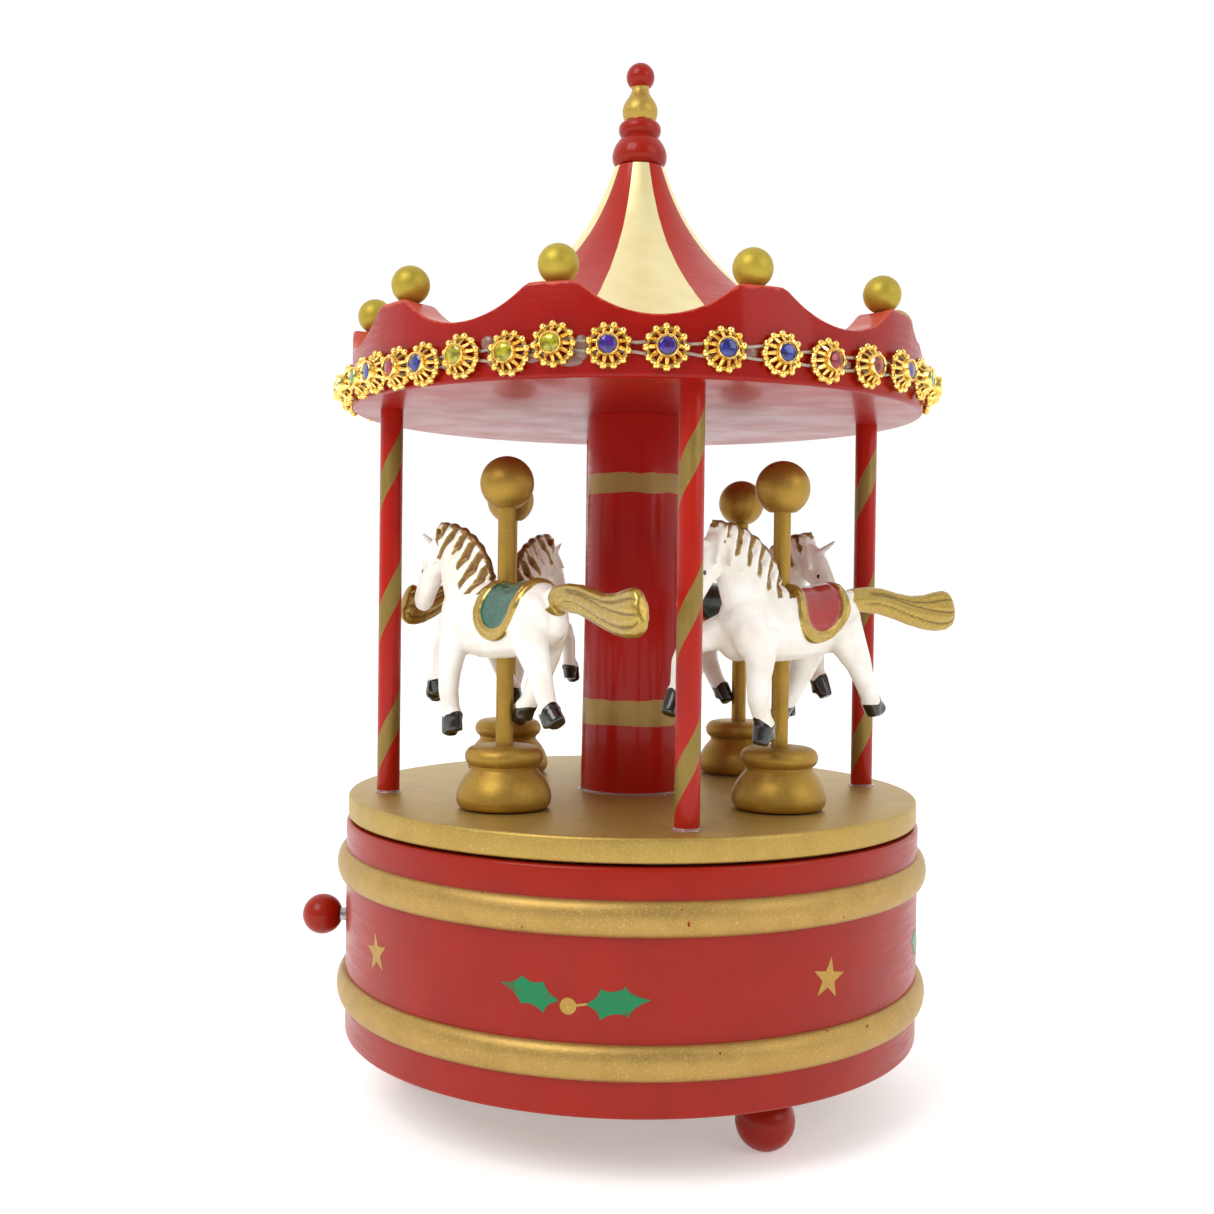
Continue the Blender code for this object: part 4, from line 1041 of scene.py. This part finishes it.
def make_horses():
    shared, turned = sculpt_horse(1.0), sculpt_horse(TURNED_HORSE_TAIL)
    red = ("red", "#AA1C10", "#8E120A")
    saddles = (red, ("dark_green", "#123F30", "#0A2A20"), red, ("green", "#126048", "#0A4232"))
    for number, (tone, light, deep) in enumerate(saddles, 1):
        rod = middle(f"horse_pole_{number}")
        is_turned = number == TURNED_HORSE
        yaw = TURNED_HORSE_YAW if is_turned else HORSE_YAW
        mesh = (turned if is_turned else shared).copy()
        # The CAD horse's frame: head along the ring, turned a little, and set a little outwards.
        mesh.transform(
            Matrix.Translation((rod.x * MM, rod.y * MM, 0))
            @ Matrix.Rotation(math.radians(90 * (number - 1)), 4, "Z")
            @ Matrix.Translation((HORSE_OFFSET * MM, 0, 0))
            @ Matrix.Rotation(math.radians(yaw - 90), 4, "Z")
        )
        paint = horse_material(f"painted_resin_horse_{tone}_saddle_{number}", light, deep)
        node = f"horse_{number}"
        attach(f"{node}_figure", mesh, "carousel", paint, [node])


# ---------------------------------------------------------------- roof


SCALLOPS = 10
CROWN_START = 8.1
SCALLOP_RADIUS = 19.1
SCALLOP_HEIGHT = 169.1
CROWN_BALL_RADIUS = 3.6


def crown_height(x, y):
    """Height of the crown's scalloped top edge at a place on the ring."""
    spacing = 360 / SCALLOPS
    angle = math.degrees(math.atan2(y, x)) - CROWN_START
    off = math.radians((angle % spacing) - spacing / 2)
    side = math.hypot(x, y) * math.sin(off)
    cut = SCALLOP_HEIGHT - math.sqrt(max(SCALLOP_RADIUS**2 - side**2, 0.0))
    sharp = 3.0
    soft = -math.log(math.exp(-sharp * (cut - CROWN_TOP)) + 1) / sharp
    return CROWN_TOP + soft


def crown_paint():
    """The crown's red gloss, painted paler along its scalloped edge as a painted highlight."""
    made, tree, shader = new_material("red_gloss_lacquer_with_painted_edge_highlight")
    paint = red_lacquer(tree, tone="#960E03", deep="#800701", seed=11.0)
    below = add_node(tree, "Attribute", output="Fac", attribute_name="below_edge")
    edge = add_node(tree, "Math", (below, wobble(tree, 1.4, 0.3)), operation="ADD")
    # Paler red along the scalloped top edge: a painted highlight where the edge catches the light.
    edge_highlight = add_node(tree, "MapRange", (edge, 0.85, 0.35, 0.0, 0.55), **SMOOTH)
    base = add_node(tree, "Mix", {0: edge_highlight, 6: paint["base"], 7: colour("#D0573F")}, **COLOURS)
    feed(tree, shader, Base_Color=base, Roughness=paint["rough"], Coat_Weight=paint["coat"])
    feed(tree, shader, **GLOSS)
    relief(tree, shader, paint["height"], 0.04)
    return made


def make_crown():
    inner = 50.5
    board = CROWN_BOTTOM + 4.0
    profile = [
        (0, board), (inner, board), (inner, CROWN_TOP), (CROWN_RADIUS, CROWN_TOP),
        (CROWN_RADIUS, CROWN_BOTTOM), (0, CROWN_BOTTOM),
    ]  # fmt: skip
    bm = bmesh.new()
    lathe(bm, softened(profile, 0.7, steps=4), 360)
    floor = board + 1.5
    below = bm.verts.layers.float.new("below_edge")
    for vert in bm.verts:
        vert[below] = (CROWN_TOP - vert.co.z) if vert.co.z > floor else 20.0
        if vert.co.z > floor:
            drop = CROWN_TOP - crown_height(vert.co.x, vert.co.y)
            share = (vert.co.z - floor) / (CROWN_TOP - floor)
            vert.co.z -= drop * min(1.0, share)
    piece("scalloped_crown", bm, "carousel", crown_paint(), ["roof_crown"])

    bm = bmesh.new()
    nodes = numbered("crown_ball", 10)
    for node in nodes:
        lathe(bm, ball_curve(node, CROWN_BALL_RADIUS, 22), 40, centre=middle(node)[:2])
    piece("crown_balls", bm, "carousel", GOLD_BALL, nodes)


def make_cone():
    top, bottom = CONE_TOP, 148.0
    profile = [(0, top)]
    for step in range(41):
        fall = step / 40
        flare = 0.34 * fall + 0.66 * fall**2.5
        profile.append((5.3 + 44.7 * flare, top + (bottom - top) * fall))
    profile += [(50.0, CONE_BOTTOM), (0, CONE_BOTTOM)]
    bm = bmesh.new()
    lathe(bm, profile, 160)
    piece("tent_roof", bm, "carousel", CONE_PAINT, ["roof_cone"])

    ball = 2.95
    curve = [(0, FINIAL_TOP)]
    curve += arc(ball, ball, (0, FINIAL_TOP - ball), 85, -42, 16)
    curve += [(1.75, 208.05), (1.85, 207.4), (2.2, 206.5), (2.9, 205.6), (3.5, 204.5)]
    curve += [(3.75, 203.4), (3.6, 202.3), (3.3, 201.5), (3.2, 201.1)]
    curve += [(3.7, 200.9), (4.3, 200.3), (4.46, 199.4), (4.3, 198.5), (3.85, 197.9), (3.6, 197.6)]
    curve += [(4.1, 197.4), (4.9, 196.4), (5.5, 195.2), (5.76, 193.9), (5.65, 192.8), (5.2, 192.0)]
    curve += [(4.9, FINIAL_BOTTOM), (0, FINIAL_BOTTOM)]
    bm = bmesh.new()
    lathe(bm, softened(curve, 0.5, steps=2), 64)
    piece("turned_finial", bm, "carousel", FINIAL_PAINT, ["finial"])


# The string of flowers sags and was glued by hand: (angle, height, stone) of those in front.
FLOWERS = [
    (-109.1, 142.7, "green"), (-102.9, 143.0, "blue"), (-95.5, 142.9, "red"),
    (-88.5, 142.9, "blue"), (-80.1, 143.6, "yellow"), (-70.8, 143.5, "yellow"),
    (-63.0, 144.7, "yellow"), (-53.9, 144.3, "purple"), (-44.6, 144.1, "purple"),
    (-35.0, 144.1, "blue"), (-24.8, 144.0, "blue"), (-15.5, 143.6, "red"),
    (-5.4, 143.8, "red"), (5.2, 144.3, "purple"),
]  # fmt: skip
OTHER_COLOURS = ("green", "green", "yellow", "yellow", "red", "red", "blue", "blue", "purple")
OTHER_COUNT = 22


def flower_height(angle):
    """Height of the string of flowers at an angle."""
    angles = [f[0] for f in FLOWERS] + [120.0, 200.0, FLOWERS[0][0] + 360]
    heights = [f[1] for f in FLOWERS] + [144.4, 143.6, FLOWERS[0][1]]
    return float(np.interp((angle - FLOWERS[0][0]) % 360 + FLOWERS[0][0], angles, heights))


def flower_places():
    """(angle, height, colour, roll) of each flower of the jewelled trim."""
    rng = random.Random(7)
    places = [(*flower, rng.uniform(0, 30)) for flower in FLOWERS]
    first = FLOWERS[-1][0]
    spacing = (FLOWERS[0][0] + 360 - first) / (OTHER_COUNT + 1)
    for number in range(OTHER_COUNT):
        angle = first + spacing * (number + 1) + rng.uniform(-0.25, 0.25)
        stone = OTHER_COLOURS[number % len(OTHER_COLOURS)]
        height = flower_height(angle) + rng.uniform(-0.12, 0.12)
        places.append((angle, height, stone, rng.uniform(0, 30)))
    return places


def flower(bm):
    """One gilt setting, facing +X with its middle at the origin and its back at x = 0."""
    outward = Matrix.Rotation(math.radians(90), 4, "Y")
    start = len(bm.verts)
    lathe(bm, arc(0.44, 0.40, (3.2, 0.48), 0, 360, 6)[:-1], 24, closed=True)
    cup = [(0, 1.2), (2.0, 1.2), (2.15, 1.5), (2.0, 2.4), (1.95, 2.95), (1.84, 3.05), (1.7, 2.95)]
    lathe(bm, [*cup, (1.66, 2.6), (0, 2.4)], 24)
    up = Vector((0, 0, 1))
    for number in range(12):
        turn = TAU * number / 12
        ray = Vector((math.cos(turn), math.sin(turn), 0))
        place = Matrix.Translation(ray * 3.44 + up * 0.62)
        bmesh.ops.create_uvsphere(bm, u_segments=8, v_segments=6, radius=0.72, matrix=place)
        spike(bm, ray * 3.2 + up * 0.5, ray * 1.9 + up * 1.75, 0.27, 0.36, sides=5)
    bm.verts.ensure_lookup_table()
    bmesh.ops.transform(bm, matrix=outward, verts=bm.verts[start:])


def stone(bm):
    """A faceted stone facing +X, in the setting's cup."""
    outward = Matrix.Rotation(math.radians(90), 4, "Y")
    start = len(bm.verts)
    lathe(bm, [(0, 3.02), (0.62, 2.98), (1.2, 2.86), (1.6, 2.66), (1.6, 2.45), (0, 2.42)], 10)
    bm.verts.ensure_lookup_table()
    bmesh.ops.transform(bm, matrix=outward, verts=bm.verts[start:])


def copies(make, places):
    """One shape with make's shape at each place (a matrix)."""
    pattern = bmesh.new()
    make(pattern)
    mesh = mesh_of("pattern", pattern)
    bm = bmesh.new()
    for place in places:
        turned = mesh.copy()
        turned.transform(place)
        bm.from_mesh(turned)
        bpy.data.meshes.remove(turned)
    bpy.data.meshes.remove(mesh)
    return bm


# Blobs of dried glue under the trim: (angle, height, half width, half height).
GLUE_SPOTS = [
    (-75.5, 145.6, 1.3, 1.4), (-74.6, 143.0, 1.0, 1.5), (-67.2, 143.0, 2.2, 1.2),
    (-58.6, 144.2, 1.6, 2.2), (-60.5, 142.0, 2.4, 1.0), (-30.0, 144.0, 1.3, 1.1),
    (-10.2, 143.6, 1.2, 0.9), (-84.5, 143.0, 1.0, 1.2), (95.0, 144.0, 1.8, 1.2),
    (170.0, 143.6, 1.5, 1.4), (221.0, 143.2, 1.6, 1.1),
]  # fmt: skip


def make_trim():
    back = CROWN_RADIUS + 0.55
    flowers = flower_places()
    squash = (TRIM_RADIUS - back) / 3.05
    places = []
    for angle, height, _, roll in flowers:
        places.append(
            Matrix.Translation(around(back, angle, height))
            @ Matrix.Rotation(math.radians(angle), 4, "Z")
            @ Matrix.Rotation(math.radians(roll), 4, "X")
            @ Matrix.Diagonal((squash, 1, 1, 1))
        )
    settings = copies(flower, places)
    piece("flower_settings", settings, "carousel", GILT, ["jewel_trim"], sharp=50)
    tones = {
        "blue": ("#1E2C96", "#080C42"), "purple": ("#481C98", "#1A0646"),
        "red": ("#A80F18", "#4A0408"), "yellow": ("#B4AE10", "#6E6604"),
        "green": ("#1D8A46", "#083C1E"),
    }  # fmt: skip
    for name, (light, dark) in tones.items():
        chosen = [place for place, row in zip(places, flowers) if row[2] == name]
        material = stone_material(f"{name}_acrylic_stone", light, dark)
        piece(f"{name}_stones", copies(stone, chosen), "carousel", material, sharp=12)
    thread = bmesh.new()
    for lift in (1.0, -0.95):
        line = []
        for step in range(240):
            angle = 1.5 * step
            z = flower_height(angle) + lift + 0.25 * math.sin(angle * 0.7 + lift)
            line.append(around(CROWN_RADIUS + 0.42, angle, z))
        tube(thread, line, 0.27, sides=6, closed=True)
    glue = bmesh.new()
    for angle, height, wide, tall in GLUE_SPOTS:
        place = Matrix.Translation(around(CROWN_RADIUS, angle, height))
        place @= Matrix.Rotation(math.radians(angle), 4, "Z") @ Matrix.Diagonal(
            (0.55, wide, tall, 1)
        )
        bmesh.ops.create_icosphere(glue, subdivisions=3, radius=1.0, matrix=place)
    piece("trim_glue_blobs", glue, "carousel", CLEAR_GLUE)
    piece("trim_threads", thread, "carousel", CLEAR_THREAD)


# ---------------------------------------------------------------- parts inside and below


SLOT_OF = {
    "deck_board": "board", "bottom_board": "board", "brake_pad": "felt",
    "bedplate": "movement_casting", "comb": "movement_steel", "spring_barrel": "movement_brass",
    "mainspring": "movement_steel", "drive_hub": "movement_brass", "cylinder": "movement_brass",
    "inner_bearing": "movement_casting", "outer_bearing": "movement_casting",
    "governor_frame": "movement_casting", "governor_wheel": "movement_brass",
    "governor_fan": "movement_steel", "winding_arbor": "movement_steel",
    "winding_key": "movement_brass", "stop_rod": "movement_steel",
}  # fmt: skip


def finish_cad_nodes():
    """Procedural finishes for the CAD nodes that are shown as they are."""
    brass = metal_material("stamped_brass", "#C9A24A", "#A37F33", 0.22, 0.38)
    steel = metal_material("polished_steel", "#B9BCC0", "#8F9296", 0.18, 0.34)
    casting = metal_material("zinc_casting", "#9C9A94", "#7C7A75", 0.42, 0.6, 1.4, 0.03)
    dressed = {
        "board": FIBREBOARD, "movement_brass": brass, "movement_steel": steel,
        "movement_casting": casting, "felt": FELT,
    }  # fmt: skip
    for node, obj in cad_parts.items():
        if not obj.hide_render:
            obj.data.materials.clear()
            obj.data.materials.append(dressed[SLOT_OF[node]])


# ---------------------------------------------------------------- studio


CAMERA_AZIMUTH = 40.7
BEHIND_CAMERA = (math.sin(math.radians(CAMERA_AZIMUTH)), -math.cos(math.radians(CAMERA_AZIMUTH)), 0)
CAMERA_DISTANCE = 298.2
CAMERA_HEIGHT = 103.96
CAMERA_LENS = 41.96
CAMERA_YAW = 1.09
CAMERA_PITCH = -0.87
CAMERA_ROLL = 0.7


def make_studio():
    """Pale floor, white surroundings and soft lights."""
    bm = bmesh.new()
    bmesh.ops.create_grid(bm, x_segments=12, y_segments=12, size=6.0)
    mesh = mesh_of("floor", bm)
    floor = shown("floor", mesh)
    made, tree, shader = new_material("pale_paper_floor")
    paper = {0: mottle(tree, 2.0, 3.0), 6: colour("#FEFEFD"), 7: colour("#FCFCFA")}
    feed(tree, shader, Base_Color=add_node(tree, "Mix", paper, **COLOURS))
    feed(tree, shader, Roughness=0.75, Emission_Color=colour("#FFFFFF"), Emission_Strength=0.32)
    mesh.materials.append(made)

    world = bpy.data.worlds.new("white_studio")
    bpy.context.scene.world = world
    world.use_nodes = True
    tree = world.node_tree
    shade = tree.nodes["Background"]
    place = add_node(tree, "TexCoord", output="Generated")
    up = add_node(tree, "SeparateXYZ", (place,), output="Z")
    front = add_node(tree, "VectorMath", (place, BEHIND_CAMERA), "Value", operation="DOT_PRODUCT")
    strength = add_node(tree, "MapRange", (front, -0.35, 0.85, 1.25, 0.32), **SMOOTH)
    overhead = add_node(tree, "MapRange", (up, 0.2, 0.9, 1.0, 0.85), **SMOOTH)
    strength = add_node(tree, "Math", (strength, overhead), operation="MULTIPLY")
    seen = add_node(tree, "LightPath", output="Is Camera Ray")
    strength = add_node(tree, "Mix", {0: seen, 2: strength, 3: 1.05})
    feed(tree, shade, Strength=strength, Color=(1, 1, 1, 1))

    def soft_light(name, azimuth, elevation, distance, size, power):
        data = bpy.data.lights.new(name, "AREA")
        data.shape, data.size, data.size_y, data.energy = "RECTANGLE", size[0], size[1], power
        lamp = shown(name, data)
        a, e = math.radians(azimuth), math.radians(elevation)
        away = Vector((math.sin(a) * math.cos(e), -math.cos(a) * math.cos(e), math.sin(e)))
        lamp.location = Vector((0, 0, 0.1)) + away * distance
        lamp.rotation_euler = away.to_track_quat("Z", "Y").to_euler()

    soft_light("key_light", CAMERA_AZIMUTH - 38, 42, 0.9, (0.5, 0.5), 4.4)
    soft_light("fill_light", CAMERA_AZIMUTH + 55, 25, 1.0, (0.6, 0.6), 2.0)


def make_camera():
    data = bpy.data.cameras.new("camera")
    data.lens, data.sensor_width = CAMERA_LENS, 36.0
    data.clip_start, data.clip_end = 0.01, 50.0
    camera = shown("camera", data)
    bpy.context.scene.camera = camera
    a = math.radians(CAMERA_AZIMUTH)
    back = Vector((math.sin(a), -math.cos(a), 0))
    camera.location = (back * CAMERA_DISTANCE + Vector((0, 0, CAMERA_HEIGHT))) * MM
    turn = Matrix.Rotation(a + math.radians(CAMERA_YAW), 4, "Z")
    tip = Matrix.Rotation(math.radians(90 + CAMERA_PITCH), 4, "X")
    roll = Matrix.Rotation(math.radians(CAMERA_ROLL), 4, "Z")
    camera.rotation_euler = (turn @ tip @ roll).to_euler()
    bpy.context.scene.view_settings.view_transform = "Standard"


make_drum()
make_hoops()
make_feet()
make_knob()
make_drum_paint()
make_platform()
make_horse_stands()
make_horses()
make_crown()
make_cone()
make_trim()
finish_cad_nodes()
make_studio()
make_camera()
